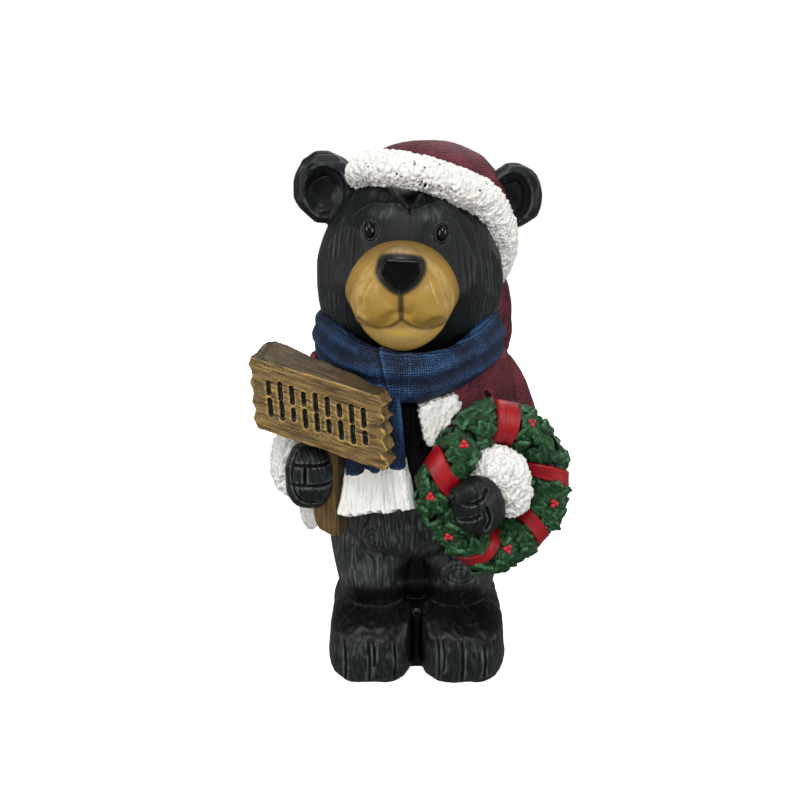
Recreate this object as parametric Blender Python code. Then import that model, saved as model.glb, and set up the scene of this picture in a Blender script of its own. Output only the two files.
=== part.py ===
"""A cast resin bear in a Santa hat, scarf and fur-edged coat, with a sign on a post and a holly wreath.

The whole statue is one casting. Its forms overlap, are melted together as a modeller's clay would be,
carved with grooves, and stand on flat soles. Lengths are in millimetres until mesh_object() writes them
in metres. +X is the viewer's right, -Y is the front, +Z is up, and the origin is on the floor between
the feet.
"""

import math
import random

import bmesh
import bpy
import numpy as np
from mathutils import Matrix, Vector
from mathutils.bvhtree import BVHTree

MM = 0.001
STATUE_NAME = "bear_statue"
CLAY_GRAIN = 1.5
CLAY_SMOOTHING = 2
TRIANGLES = 9350

# Body
TORSO, TORSO_SIZE, TORSO_BACK = (0, -2, 190), (77, 76, 90), 70
BELLY, BELLY_SIZE = (-1, -14, 151), (66, 64, 47)
FEET = {"left": (-41, 40.5), "right": (43.5, 41)}
FOOT_Y, FOOT_FRONT, FOOT_BACK = -14, 72, 70
FOOT_Z, FOOT_UP, FOOT_DOWN = 25, 46, 36
FOOT_SQUARENESS, FOOT_TAPER, FOOT_TUCK = 3.6, 0.08, 0.12
INSTEP_Y, INSTEP_SLOPE, INSTEP_BLEND = -48, 0.72, 6
LEG_HALF_WIDE, LEG_FRONT, LEG_BACK, LEG_Z, LEG_HALF_TALL = 35, 56, 56, 92, 68
LEG_SPREAD = 0.22
WEB, WEB_SIZE = (1, 0, 30), (17, 54, 40)
CROTCH, CROTCH_SIZE = (1, -2, 88), (22, 42, 34)
TOES = (
    (-63, 4, 46), (-41.5, 3, 47), (-38, 20, 44), (-18.5, 4, 46), (20, 3, 48), (24, 14, 46), (41, 3, 46),
    (61, 8, 38),
)

# Head, turned a little to the viewer's left and tipped to the right
HEAD, HEAD_TURN, HEAD_TIP = (-6, 2, 352), math.radians(-3), math.radians(2)
HEAD_WIDE, HEAD_FRONT, HEAD_BACK, HEAD_UP, HEAD_DOWN = 84, 74, 74, 98, 72
EARS = (((-79.5, 2, 432), (28, 15, 31)), ((86, 6, 425), (25, 14, 28)))
EAR_DISHES, EAR_DISH = (((2, -4), (19, 22)), ((-2, -2), (17, 22))), 9
BROW = (
    (-58, 410), (-44, 420), (-38, 424), (-17, 423), (-6, 418), (9, 423), (23, 426), (34, 419), (48, 403),
)
MUZZLE, MUZZLE_SIZE, MUZZLE_DOWN = (-12, -62, 350), (47, 46, 40), 28
JAW, JAW_SIZE = (-12, -61, 324), (39.5, 40, 25)
CHEEKS, CHEEK_SIZE = ((-32.5, -83, 344.5), (8.5, -83, 344.5)), (25, 26, 23)
NOSE = (-13.5, -112, 366.5)
NOSE_OUTLINE = (
    (-12, 10.5), (0, 10.8), (12.5, 9.7), (15.7, 4.5), (13.5, -2), (6.3, -8.6), (-1, -12), (-8.6, -7.4),
    (-14.8, 0),
)
NOSE_RINGS = ((1.08, 12), (1.06, 3), (1.02, -3), (0.96, -5.2), (0.84, -5.8))
EYES, EYE_SIZE = ((-38.8, -65, 397.5), (20.3, -66, 395)), (4.8, 5.4, 6.4)
MOUTH = (
    (-46, 330), (-38, 325), (-28, 322), (-20, 324), (-13, 328.5), (-6, 324.5), (4, 320.5), (14, 322),
    (24, 327),
)
PHILTRUM = ((-13.5, 356), (-13, 328))

# Hat
CROWN, CROWN_SIZE = (10, 22, 390.5), (77, 62, 82)
BRIM = (
    (-46, -22, 443, 14), (-31, -40, 447, 16), (-7, -49, 447, 16.5), (19, -44, 442, 16.5), (41, -34, 433, 17),
    (61, -20, 417, 17), (75, -2, 389, 14.5), (74, 16, 359, 11), (62, 52, 350, 14), (20, 78, 354, 15),
    (-28, 72, 374, 15), (-56, 38, 410, 14),
)
HAT_TAIL = (
    (24, 40, 430, 48), (45, 54, 392, 38), (60, 60, 352, 27), (68, 64, 326, 25), (73, 68, 300, 23),
    (75, 72, 276, 19),
)
POMPOM, POMPOM_SIZE = (74, 76, 262), 23

# Scarf
SCARF, SCARF_WIDE, SCARF_FRONT, SCARF_BACK = (-6, 0), 73, 80, 68
SCARF_Z, SCARF_DIP, SCARF_HALF_TALL, SCARF_HALF_THICK = 304, 22, 24, 13
SCARF_END = ((-60, 275), (-16, 275), (-8.5, 205), (-60, 197))
SCARF_END_FRONT, SCARF_END_THICK, FRINGE_FRONT = -93, 18, -104
FRINGE_STRANDS, FRINGE_LONG, FRINGE_EDGES = 12, 33, (-67, 1)
SCARF_LAP = ((-26, 300), (-27, 284), (-24, 262))

# Coat, as rings of height, half width, front and back depth
COAT = (
    (300, 66, 60, 60), (288, 84, 66, 68), (262, 90, 76, 74), (235, 93, 81, 77), (200, 95, 84, 80),
    (160, 98, 85, 84), (126, 100, 85, 87),
)
COAT_OPENING = (
    (-14, 280), (2, 280), (3, 258), (10, 225), (50, 180), (76, 136), (94, 100), (-106, 100), (-90, 136),
    (-62, 180), (-30, 225),
)
LAPEL_WIDE, LAPEL_THICK, LAPEL_LIMIT = 27, 8, 98
COLLAR = ((1, 256.5), (31.5, 265), (37.5, 253), (23, 236.5), (16.5, 228), (9, 222), (4.5, 237))
COLLAR_LIFT, COLLAR_PIT = 10, ((56, 271), (58.5, 266), (62, 263))
HEM_Z, HEM_HALF_TALL, HEM_HALF_THICK = 139.5, 14, 8

# Arms
SLEEVES = (
    ((-68, 4, 273, 29), (-84, 8, 242, 29), (-93, 2, 216, 28), (-96, -28, 202, 26), (-94, -56, 198, 24)),
    ((64, 4, 268, 28), (78, 8, 242, 30), (87, 4, 214, 29), (90, -30, 206, 26), (80, -84, 202, 23)),
)
CUFFS = (
    ((-96, -58, 198), (27, 15, 30), (0.10, -0.99, 0.06)),
    ((67, -106, 197), (29, 16, 32), (-0.62, -0.72, -0.30)),
)
PAWS = (
    ((-89.5, -88, 198), (20, 24, 27.5), (0.05, -1, 0)),
    ((48, -120, 186), (21, 20, 24), (-0.62, -0.72, -0.30)),
)
THUMB, THUMB_SIZE, THUMB_TURN = (39, -132, 201.5), (15, 9, 8), math.radians(-14)
FINGERS = (
    ((-102, 196), (-70, 195.5)), ((-102, 212.5), (-70, 212)), ((-98, 187), (-90, 181), (-79, 180.5)),
    ((27, 194), (40, 194.5), (50, 200), (55, 206)), ((32, 177), (40, 179.5), (48, 184)),
    ((56, 173), (63, 181), (67, 191)),
)

# Sign
SIGN_LEFT, SIGN_RIGHT, SIGN_TALL, SIGN_UP = (-133, -92, 269), (-29, -126, 244), (59, 60), (-0.07, 0.06, 1)
SIGN_THICK = (25, 20)
SIGN_RISE = (
    (1, 1), (0.5, 5), (0.1, 8), (-0.3, 10), (-0.6, 13), (-0.8, 12.5), (-0.94, 9), (-1, 5),
)
SIGN_TEETH, SIGN_TOOTH = (4, 5), (3, 4.5)
STROKE_ROWS, STROKES_PER_ROW, STROKE_TALL, STROKE_HALF_WIDE, STROKE_DEEP = 2, 9, 12, 1.5, 2.0
STROKE_REACH, STROKE_GAP, SHORT_STROKE, STROKE_CLEARANCE = 0.84, 4, 0.65, 6
POST = (
    (-86.5, 165), (-85, 157), (-81.5, 150.5), (-73, 146), (-70, 144.5), (-62.8, 144.5), (-57.5, 150.5),
    (-57.5, 262), (-86.5, 262),
)
POST_FRONT, POST_THICK = -92, 16

# Wreath. A ribbon is its degrees round the ring, its lean in degrees and its half width. Berries are degrees
# round the ring and round its tube.
WREATH, WREATH_TURN, WREATH_WIDE, WREATH_TALL, WREATH_TUBE = (62, -95, 190), math.radians(14), 48, 55, 15
LEAVES_ROUND, LEAF_LONG, LEAF_HALF_WIDE, LEAF_THICK, LEAF_LIFT = 22, 17, 8, 3.4, 0.12
LEAF_ROWS = (-80, -35, 10, 55, 100)
RIBBONS = ((82, -2, 9.2), (166, -10, 9.2), (250, -19, 5.8), (319, -5, 6.4), (11, -10, 6.6))
RIBBON_LIFT = 4.5
BERRIES = ((127, 17), (63, 34), (179, 34), (347, 0), (216, 23), (280, -17))
BERRY_SIZE, BERRY_SPREAD = 3.0, 3.4


def unit(vector):
    """The vector at length 1, as an array."""
    return np.array(vector, float) / np.linalg.norm(vector)


def spin(angle, axis):
    """A rotation about a main axis, as an array."""
    return np.array(Matrix.Rotation(angle, 3, axis))


def mesh_object(name, points, faces):
    """A mesh object in metres from points in millimetres, with its faces pointing out."""
    mesh = bpy.data.meshes.new(name)
    mesh.from_pydata([tuple(p) for p in np.asarray(points, float) * MM], [], faces)
    made = bpy.data.objects.new(name, mesh)
    bpy.context.scene.collection.objects.link(made)
    bm = bmesh.new()
    bm.from_mesh(mesh)
    bmesh.ops.recalc_face_normals(bm, faces=bm.faces)
    bm.to_mesh(mesh)
    bm.free()
    return made


def ball(cuts):
    """Unit directions and quads of a cube with its faces cut evenly and blown up to a ball."""
    bm = bmesh.new()
    bmesh.ops.create_cube(bm, size=2)
    bmesh.ops.subdivide_edges(bm, edges=bm.edges, cuts=cuts - 1, use_grid_fill=True)
    flat = np.array([v.co for v in bm.verts])
    faces = [[v.index for v in f.verts] for f in bm.faces]
    bm.free()
    rounded = np.tan(flat * math.pi / 4)
    return rounded / np.linalg.norm(rounded, axis=1)[:, None], faces


def blob(centre, size, squareness=2.0, low=None, turn=None, shape=None, cuts=16):
    """A rounded lump. size is its half sizes, and low gives other half sizes on the -X, -Y and -Z sides.
    squareness 2 is an ellipsoid and more is boxier. shape changes the points before they are turned."""
    directions, faces = ball(cuts)
    reach = (np.abs(directions) ** squareness).sum(axis=1) ** (-1 / squareness)
    halves = np.where(directions < 0, np.array(low or size, float), np.array(size, float))
    points = directions * reach[:, None] * halves
    if shape:
        points = shape(points)
    if turn is not None:
        points = points @ np.asarray(turn).T
    return points + centre, faces


def turned_to(axis):
    """The rotation that turns local -Y to the given direction and keeps local Z as upright as it can be."""
    back = -unit(axis)
    side = unit(np.cross(back, (0, 0, 1)))
    return np.column_stack([side, back, np.cross(side, back)])


def ring_faces(rings, sides, closed):
    """Quads between rings of points, with a face over each end of an open row of rings."""
    faces = []
    for r in range(rings if closed else rings - 1):
        here, ahead = r * sides, (r + 1) % rings * sides
        faces += [[here + s, here + (s + 1) % sides, ahead + (s + 1) % sides, ahead + s] for s in range(sides)]
    if not closed:
        faces += [list(range(sides)), list(range(rings * sides - 1, (rings - 1) * sides - 1, -1))]
    return faces


def smooth_path(stations, steps, closed=False):
    """Points read from a smooth curve through the stations."""
    stations = np.array(stations, float)
    if closed:
        padded = np.vstack([stations[-1], stations, stations[:2]])
    else:
        padded = np.vstack([2 * stations[0] - stations[1], stations, 2 * stations[-1] - stations[-2]])
    found = []
    for a, b, c, d in zip(padded, padded[1:], padded[2:], padded[3:]):
        for t in np.linspace(0, 1, steps, endpoint=False):
            bend = (2 * a - 5 * b + 4 * c - d) * t**2 + (3 * b - a - 3 * c + d) * t**3
            found.append(0.5 * (2 * b + (c - a) * t + bend))
    return np.array(found) if closed else np.vstack([found, stations[-1]])


def limb(stations, steps=6, sides=24, flatten=1.0):
    """A tapering tube with rounded ends along a smooth curve through the stations (x, y, z, radius)."""
    path = smooth_path(stations, steps)
    ahead = np.gradient(path[:, :3], axis=0)
    points = []
    for (*centre, radius), direction in zip(path, ahead):
        direction = unit(direction)
        side = unit(np.cross(direction, (0.35, 0.9, 0.2)))
        up = np.cross(side, direction)
        for s in range(sides):
            turn = 2 * math.pi * s / sides
            points.append(centre + radius * (math.cos(turn) * side + flatten * math.sin(turn) * up))
    return points, ring_faces(len(path), sides, closed=False)


def band(centres, outward, upward, thick, tall, sides=16):
    """A closed band of oval section through the centres, with half sizes thick and tall at each."""
    points = []
    for centre, out, up, half_thick, half_tall in zip(centres, outward, upward, thick, tall):
        for s in range(sides):
            turn = 2 * math.pi * s / sides
            points.append(centre + math.cos(turn) * half_thick * out + math.sin(turn) * half_tall * up)
    return points, ring_faces(len(centres), sides, closed=True)


def slab(outline, front, back):
    """A prism over an outline of (x, z) points, between two depths."""
    count = len(outline)
    points = [(x, front, z) for x, z in outline] + [(x, back, z) for x, z in outline]
    sides = [[i, (i + 1) % count, count + (i + 1) % count, count + i] for i in range(count)]
    return points, [list(range(count)), list(range(2 * count - 1, count - 1, -1)), *sides]


def box(centre, half):
    """A box from its centre and half sizes."""
    (x, y, z), (wide, deep, tall) = centre, half
    outline = ((x - wide, z - tall), (x + wide, z - tall), (x + wide, z + tall), (x - wide, z + tall))
    return slab(outline, y - deep, y + deep)


def fur(points):
    """Points pushed in and out a little, as clumps of carved fur."""
    wave = np.sin(points[:, 0] * 0.5) * np.sin(points[:, 1] * 0.55 + 1) * np.sin(points[:, 2] * 0.45 + 2)
    return points * (1 + 0.06 * wave)[:, None]


def torso():
    """The body, with its round belly standing out over the legs."""
    wide, front, up = TORSO_SIZE
    return [blob(TORSO, (wide, TORSO_BACK, up), 2.4, low=(wide, front, up)), blob(BELLY, BELLY_SIZE, 2.6)]


def legs():
    """Two short legs on broad feet, and the web of resin that joins them."""
    pieces = [blob(WEB, WEB_SIZE, 6), blob(CROTCH, CROTCH_SIZE, 3)]
    for x, half_wide in FEET.values():
        pieces.append(blob((x * 0.88, 0, LEG_Z), (LEG_HALF_WIDE, LEG_BACK, LEG_HALF_TALL), 2.8,
                           low=(LEG_HALF_WIDE, LEG_FRONT, LEG_HALF_TALL), shape=leg_spread))
        pieces.append(blob((x, FOOT_Y, FOOT_Z), (half_wide, FOOT_BACK, FOOT_UP), FOOT_SQUARENESS,
                           low=(half_wide, FOOT_FRONT, FOOT_DOWN),
                           shape=lambda p, outer=x: foot_shape(p, outer)))
    return pieces


def leg_spread(points):
    """A leg's points, spread towards the hip."""
    points[:, 0] *= 1 + LEG_SPREAD * np.clip((points[:, 2] + 25) / 40, 0, 1.3)
    return points


def foot_shape(points, outer):
    """A foot's points, tucked in under the sole and drawn in towards the ankle on the outer side, with the
    instep sloping down to the toes."""
    points[:, 0] *= 1 - FOOT_TUCK * np.clip((-8 - points[:, 2]) / 17, 0, 1) ** 2
    drawn_in = 1 - FOOT_TAPER * np.clip((points[:, 2] + 18) / 30, 0, 1)
    points[:, 0] *= np.where(points[:, 0] * outer > 0, drawn_in, 1)
    ceiling = FOOT_UP + INSTEP_SLOPE * np.minimum(0, points[:, 1] + FOOT_Y - INSTEP_Y)
    points[:, 2] = ceiling - INSTEP_BLEND * np.log1p(np.exp((ceiling - points[:, 2]) / INSTEP_BLEND))
    return points


def head():
    """The head with its ears, muzzle, cheeks, jaw, nose and eyes."""
    turn = spin(HEAD_TIP, "Y") @ spin(HEAD_TURN, "Z")
    low = (HEAD_WIDE, HEAD_FRONT, HEAD_DOWN)
    pieces = [blob(HEAD, (HEAD_WIDE, HEAD_BACK, HEAD_UP), 2.15, low=low, turn=turn, shape=head_taper), nose()]
    for (centre, size), dish in zip(EARS, EAR_DISHES):
        pieces.append(blob(centre, size, 2.5, turn=turn, shape=lambda p, dish=dish: dished(p, dish), cuts=24))
    wide, deep, _ = MUZZLE_SIZE
    low = (wide, deep, MUZZLE_DOWN)
    pieces.append(blob(MUZZLE, MUZZLE_SIZE, 2.3, low=low, turn=turn, shape=muzzle_taper))
    pieces.append(blob(JAW, JAW_SIZE, 2.2, turn=turn))
    pieces += [blob(centre, CHEEK_SIZE, 2.3, turn=turn) for centre in CHEEKS]
    pieces += [blob(centre, EYE_SIZE, cuts=8) for centre in EYES]
    return pieces


def head_taper(points):
    """The head's points drawn in towards its top, so that the cheeks are its widest part."""
    share = np.clip(points[:, 2] / HEAD_UP, 0, 1)
    points[:, 0] *= 1 - 0.10 * share
    return points


def muzzle_taper(points):
    """The muzzle's points drawn in and back towards the bridge of the nose."""
    share = np.clip(points[:, 2] / MUZZLE_SIZE[2], 0, 1)
    points[:, 0] *= 1 - 0.18 * share
    return points


def nose():
    """A flat nose with a bevelled edge, pointed at its lower end."""
    outline = smooth_path(NOSE_OUTLINE, 5, closed=True)
    points = [np.add(NOSE, (x * share, deep, z * share)) for share, deep in NOSE_RINGS for x, z in outline]
    return points, ring_faces(len(NOSE_RINGS), len(outline), closed=False)


def dished(points, dish):
    """An ear's points with its front hollowed out inside a thick rim."""
    (across, up), (wide, tall) = dish
    out = np.hypot((points[:, 0] - across) / wide, (points[:, 2] - up) / tall)
    share = np.clip((1.05 - out) / 0.43, 0, 1)
    points[:, 1] += np.where(points[:, 1] < 0, 2 * EAR_DISH * share * share * (3 - 2 * share), 0)
    return points


def above_brim(points):
    """The crown's points, with those under the brim's plane moved up to it."""
    stations = np.array(BRIM)[:, :3]
    middle = stations.mean(axis=0)
    upright = np.linalg.svd(stations - middle)[2][2]
    upright = upright * np.sign(upright[2])
    under = np.minimum((points + CROWN - middle) @ upright, 0)
    return points - under[:, None] * upright


def hat():
    """The hat's crown, its tail hanging down behind with a pompom, and the rolled fur brim round it."""
    path = smooth_path(BRIM, 8, closed=True)
    centres, size = path[:, :3], path[:, 3]
    size = size * (1 + 0.05 * np.sin(np.arange(len(size)) * 1.1))
    ahead = [unit(b - a) for a, b in zip(np.roll(centres, 1, axis=0), np.roll(centres, -1, axis=0))]
    outward = [unit(np.cross(np.cross(along, centre - HEAD), along)) for along, centre in zip(ahead, centres)]
    upward = [np.cross(along, out) for along, out in zip(ahead, outward)]
    return [blob(CROWN, CROWN_SIZE, 2.3, shape=above_brim), limb(HAT_TAIL),
            blob(POMPOM, (POMPOM_SIZE,) * 3, shape=fur), band(centres, outward, upward, size, size)]


def scarf():
    """The scarf wound round the neck, its end hanging down the chest, and the fringe."""
    count = 80
    centres, outward, tall, thick = [], [], [], []
    for i in range(count):
        turn = 2 * math.pi * i / count
        across, along = math.cos(turn), math.sin(turn)
        depth = SCARF_BACK if along > 0 else SCARF_FRONT
        front = max(0, -along)
        x, y = SCARF
        centres.append((x + SCARF_WIDE * across, y + depth * along, SCARF_Z - SCARF_DIP * front**2))
        outward.append(unit((across, along, 0)))
        tall.append(SCARF_HALF_TALL * (1 - 0.08 * front))
        thick.append(SCARF_HALF_THICK)
    pieces = [band(np.array(centres), outward, [np.array((0, 0, 1.0))] * count, thick, tall)]
    pieces.append(slab(SCARF_END, SCARF_END_FRONT, SCARF_END_FRONT + SCARF_END_THICK))
    _, _, (right, right_low), (left, left_low) = SCARF_END
    for i in range(FRINGE_STRANDS):
        share = (i + 0.5) / FRINGE_STRANDS
        upper = left + 3 + share * (right - left - 6)
        lower = FRINGE_EDGES[0] + 3 + share * (FRINGE_EDGES[1] - FRINGE_EDGES[0] - 6)
        bottom = left_low + share * (right_low - left_low)
        drop = FRINGE_LONG + 1.5 * math.sin(4 * i)
        root, tip = (upper, SCARF_END_FRONT + 8, bottom + 6, 2.7), (lower, FRINGE_FRONT + 8, bottom - drop, 3.1)
        pieces.append(limb((root, tip), 3, 10, 2.6))
    return pieces


def coat_depth(x, z):
    """How far the coat's surface stands in front of the middle at this x and height."""
    heights = [ring[0] for ring in reversed(COAT)]
    wide = np.interp(z, heights, [ring[1] for ring in reversed(COAT)])
    front = np.interp(z, heights, [ring[2] for ring in reversed(COAT)])
    return front * math.sqrt(max(0.05, 1 - (x / wide) ** 2))


def opened(name, shape):
    """A closed shape with the coat's front opening cut out of it."""
    whole = mesh_object(name, *shape)
    cutter = mesh_object("opening", *slab(COAT_OPENING, -140, -8))
    modifier = whole.modifiers.new("opening", "BOOLEAN")
    modifier.operation = "DIFFERENCE"
    modifier.solver = "EXACT"
    modifier.object = cutter
    cut = bpy.data.meshes.new_from_object(whole.evaluated_get(bpy.context.evaluated_depsgraph_get()))
    points = np.array([v.co for v in cut.vertices]) / MM
    faces = [list(p.vertices) for p in cut.polygons]
    for used in (whole, cutter):
        bpy.data.objects.remove(used)
    return points, faces


def coat():
    """The coat over the torso, open at the front, with fur along the opening and the hem."""
    sides = 48
    points = []
    for z, wide, front, back in COAT:
        for s in range(sides):
            turn = 2 * math.pi * s / sides
            depth = back if math.sin(turn) > 0 else front
            points.append((wide * math.cos(turn), depth * math.sin(turn), z))
    pieces = [opened("coat", (points, ring_faces(len(COAT), sides, closed=False)))]
    pieces += [collar(), lapel(COAT_OPENING[3:6], 1), lapel(COAT_OPENING[:7:-1], -1)]
    count = 90
    _, wide, front, back = COAT[-1]
    turns = [2 * math.pi * (i + 0.5) / count for i in range(count)]
    centres = [(wide * math.cos(t), (back if math.sin(t) > 0 else front) * math.sin(t), HEM_Z) for t in turns]
    outward = [unit((math.cos(t), math.sin(t), 0)) for t in turns]
    size = [1 + 0.08 * math.sin(17 * t) for t in turns]
    hem = band(np.array(centres), outward, [np.array((0, 0, 1.0))] * count,
               [HEM_HALF_THICK * s for s in size], [HEM_HALF_TALL * s for s in size])
    pieces.append(opened("hem", hem))
    return pieces


def collar():
    """The turned-back end of the fur at the top of the coat's right edge."""
    count = len(COLLAR)
    points = [(x, -coat_depth(x, z) - COLLAR_LIFT, z) for x, z in COLLAR]
    points += [(x, -coat_depth(x, z) + COLLAR_LIFT, z) for x, z in COLLAR]
    sides = [[i, (i + 1) % count, count + (i + 1) % count, count + i] for i in range(count)]
    return points, [list(range(count)), list(range(2 * count - 1, count - 1, -1)), *sides]


def lapel(edge, outer):
    """A strip of fur down one edge of the coat's opening."""
    profile = ((0, 0), (LAPEL_WIDE * 0.15, LAPEL_THICK), (LAPEL_WIDE * 0.8, LAPEL_THICK), (LAPEL_WIDE, 0))
    points = []
    for x, z in edge:
        for across, lift in profile:
            at = max(-LAPEL_LIMIT, min(LAPEL_LIMIT, x + outer * across))
            points.append((at, -coat_depth(at, z) - lift, z))
        points.append((x + outer * LAPEL_WIDE * 0.6, -coat_depth(x, z) + 30, z))
    return points, ring_faces(len(edge), 5, closed=False)


def arms():
    """Sleeves, fur cuffs and paws. The viewer's left paw grips the post and the right one holds the wreath."""
    pieces = [limb(sleeve) for sleeve in SLEEVES]
    pieces += [blob(centre, size, 2.5, turn=turned_to(axis), shape=fur) for centre, size, axis in CUFFS]
    pieces += [blob(centre, size, 2.5, turn=turned_to(axis)) for centre, size, axis in PAWS]
    pieces.append(blob(THUMB, THUMB_SIZE, turn=spin(THUMB_TURN, "Y")))
    return pieces


def sign_axes():
    """The board's axes as columns: along it, into it and up it."""
    along = unit(np.subtract(SIGN_RIGHT, SIGN_LEFT))
    return np.column_stack([along, unit(np.cross((0, 0, 1), along)), unit(SIGN_UP)])


def sign_place(across, up, into=0.0):
    """A point of the board: across from -1 to 1, up from -1 to 1, and its depth behind the front face."""
    middle = np.add(SIGN_LEFT, SIGN_RIGHT) / 2
    half_long = np.linalg.norm(np.subtract(SIGN_RIGHT, SIGN_LEFT)) / 2
    half_tall = np.interp(across, (-1, 1), SIGN_TALL) / 2
    return middle + sign_axes() @ np.array((across * half_long, into, up * half_tall))


def sign():
    """The board with its sawn ends and humped back, and its post."""
    half_long = np.linalg.norm(np.subtract(SIGN_RIGHT, SIGN_LEFT)) / 2
    ends = []
    for end, teeth, tooth in zip((-1, 1), SIGN_TEETH, SIGN_TOOTH):
        ups = np.linspace(-1, 1, 2 * teeth + 1)
        ends.append([(end * (1 + (tooth / half_long if i % 2 else 0)), up, 0) for i, up in enumerate(ups)])
    top = [(across, 1, rise) for across, rise in SIGN_RISE]
    edge = ends[1][:-1] + top + ends[0][-2::-1]
    points = [sign_place(across, up) for across, up, _ in edge]
    for across, up, rise in edge:
        thick = np.interp(across, (-1, 1), SIGN_THICK)
        points.append(sign_place(across, up, thick) + rise * sign_axes()[:, 2])
    count = len(edge)
    sides = [[i, (i + 1) % count, count + (i + 1) % count, count + i] for i in range(count)]
    faces = [list(range(count)), list(range(2 * count - 1, count - 1, -1)), *sides]
    return [(points, faces), slab(POST, POST_FRONT, POST_FRONT + POST_THICK)]


def on_wreath(round_turn, tube_turn, lift=0.0):
    """A point on the wreath's ring, its outward normal, and the ring's direction there."""
    swing = spin(WREATH_TURN, "Z")
    radial = np.array((math.cos(round_turn), 0, math.sin(round_turn)))
    centre = np.array((WREATH_WIDE * math.cos(round_turn), 0, WREATH_TALL * math.sin(round_turn)))
    normal = math.cos(tube_turn) * np.array((0, -1.0, 0)) + math.sin(tube_turn) * radial
    along = np.array((-math.sin(round_turn), 0, math.cos(round_turn)))
    return swing @ (centre + normal * (WREATH_TUBE + lift)) + WREATH, swing @ normal, swing @ along


def wreath_ring():
    """The whole ring's tube, under the leaves."""
    rings, sides = 72, 20
    turns = [(2 * math.pi * i / rings, 2 * math.pi * k / sides) for i in range(rings) for k in range(sides)]
    return [on_wreath(*turn)[0] for turn in turns], ring_faces(rings, sides, closed=True)


def ribbon(middle, skew, half_wide):
    """A band wound round the ring, of even width, which leans as it goes round."""
    rings, sides = 6, 24
    points = []
    for i in range(rings):
        share = 2 * i / (rings - 1) - 1
        for k in range(sides):
            around = 2 * math.pi * k / sides
            off = share * half_wide / (WREATH_WIDE + WREATH_TUBE * math.sin(around))
            turn = math.radians(middle + skew * math.sin(around)) + off
            points.append(on_wreath(turn, around, RIBBON_LIFT)[0])
    return points, ring_faces(rings, sides, closed=False)


def leaf(base, ahead, normal):
    """One thick pointed leaf with a ridge along its middle."""
    side = np.cross(ahead, normal)
    middle, tip = base + 0.45 * LEAF_LONG * ahead, base + LEAF_LONG * ahead
    points = [base, middle + LEAF_HALF_WIDE * side, tip, middle - LEAF_HALF_WIDE * side,
              middle + LEAF_THICK * normal, middle - LEAF_THICK * normal]
    faces = [[0, 1, 4], [1, 2, 4], [2, 3, 4], [3, 0, 4], [1, 0, 5], [2, 1, 5], [3, 2, 5], [0, 3, 5]]
    return points, faces


def wreath():
    """The holly wreath: a ring covered in leaves, five turns of ribbon and berries in threes."""
    rng = random.Random(7)
    pieces = [wreath_ring(), *[ribbon(*row) for row in RIBBONS]]
    for i in range(LEAVES_ROUND):
        for row, tube_turn in enumerate(LEAF_ROWS):
            turn = 2 * math.pi * (i + 0.5 * (row % 2)) / LEAVES_ROUND
            base, normal, along = on_wreath(turn, math.radians(tube_turn) + rng.uniform(-0.15, 0.15), 1)
            swing = rng.uniform(-0.8, 0.8)
            across = np.cross(along, normal) * (1 if row > 1 else -1)
            ahead = unit(math.sin(swing) * along + math.cos(swing) * across + LEAF_LIFT * normal)
            pieces.append(leaf(base, ahead, unit(normal - (normal @ ahead) * ahead)))
    for turn, tube_turn in BERRIES:
        centre, normal, along = on_wreath(math.radians(turn), math.radians(tube_turn), RIBBON_LIFT)
        across = np.cross(along, normal)
        for i in range(3):
            around = 2 * math.pi * i / 3
            offset = BERRY_SPREAD * (math.cos(around) * along + math.sin(around) * across)
            pieces.append(blob(centre + offset, (BERRY_SIZE,) * 3, cuts=4))
    return pieces


def evaluated(shape_object):
    """The mesh of an object with its modifiers, which replaces the object's own."""
    graph = bpy.context.evaluated_depsgraph_get()
    mesh = bpy.data.meshes.new_from_object(shape_object.evaluated_get(graph))
    shape_object.modifiers.clear()
    shape_object.data = mesh
    return mesh


def joined(pieces):
    """The points and faces of several pieces as one list of each."""
    points, faces = [], []
    for piece_points, piece_faces in pieces:
        start = len(points)
        points += list(piece_points)
        faces += [[start + i for i in face] for face in piece_faces]
    return points, faces


def melt(pieces):
    """One object from overlapping pieces, melted into a single skin."""
    statue = mesh_object(STATUE_NAME, *joined(pieces))
    remesh = statue.modifiers.new("melt", "REMESH")
    remesh.mode = "VOXEL"
    remesh.voxel_size = CLAY_GRAIN * MM
    smooth = statue.modifiers.new("smooth", "SMOOTH")
    smooth.iterations = CLAY_SMOOTHING
    evaluated(statue)
    return statue


def grooves():
    """The carved lines, each as its (x, z) points seen from the front, its half width and its depth."""
    lines = [(((x, low), (x + 0.8, (low + high) / 2), (x - 0.5, high)), 2.4, 2.6) for x, low, high in TOES]
    lines += [(smooth_path(MOUTH, 4), 2.6, 2), (PHILTRUM, 2.8, 2), (smooth_path(BROW, 3), 5, 3)]
    lines += [(line, 2.3, 2.4) for line in FINGERS]
    lines += [(SCARF_LAP, 3, 3), (COLLAR_PIT, 4.5, 4)]
    return lines


def stroke_blocks():
    """A block for each of the short strokes in rows on the sign, standing in the board's face."""
    pieces = []
    half_tall = sum(SIGN_TALL) / 4
    for row in range(STROKE_ROWS):
        for i in range(STROKES_PER_ROW):
            across = STROKE_REACH * (2 * (i + 0.5) / STROKES_PER_ROW - 1)
            up = (0.5 - row) * (STROKE_TALL + STROKE_GAP) / half_tall
            tall = STROKE_TALL * (1 if (i + row) % 3 else SHORT_STROKE)
            middle = (0, (STROKE_DEEP - STROKE_CLEARANCE) / 2, 0)
            half = (STROKE_HALF_WIDE, (STROKE_DEEP + STROKE_CLEARANCE) / 2, tall / 2)
            points, faces = box(middle, half)
            pieces.append((sign_place(across, up) + np.array(points) @ sign_axes().T, faces))
    return pieces


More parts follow.
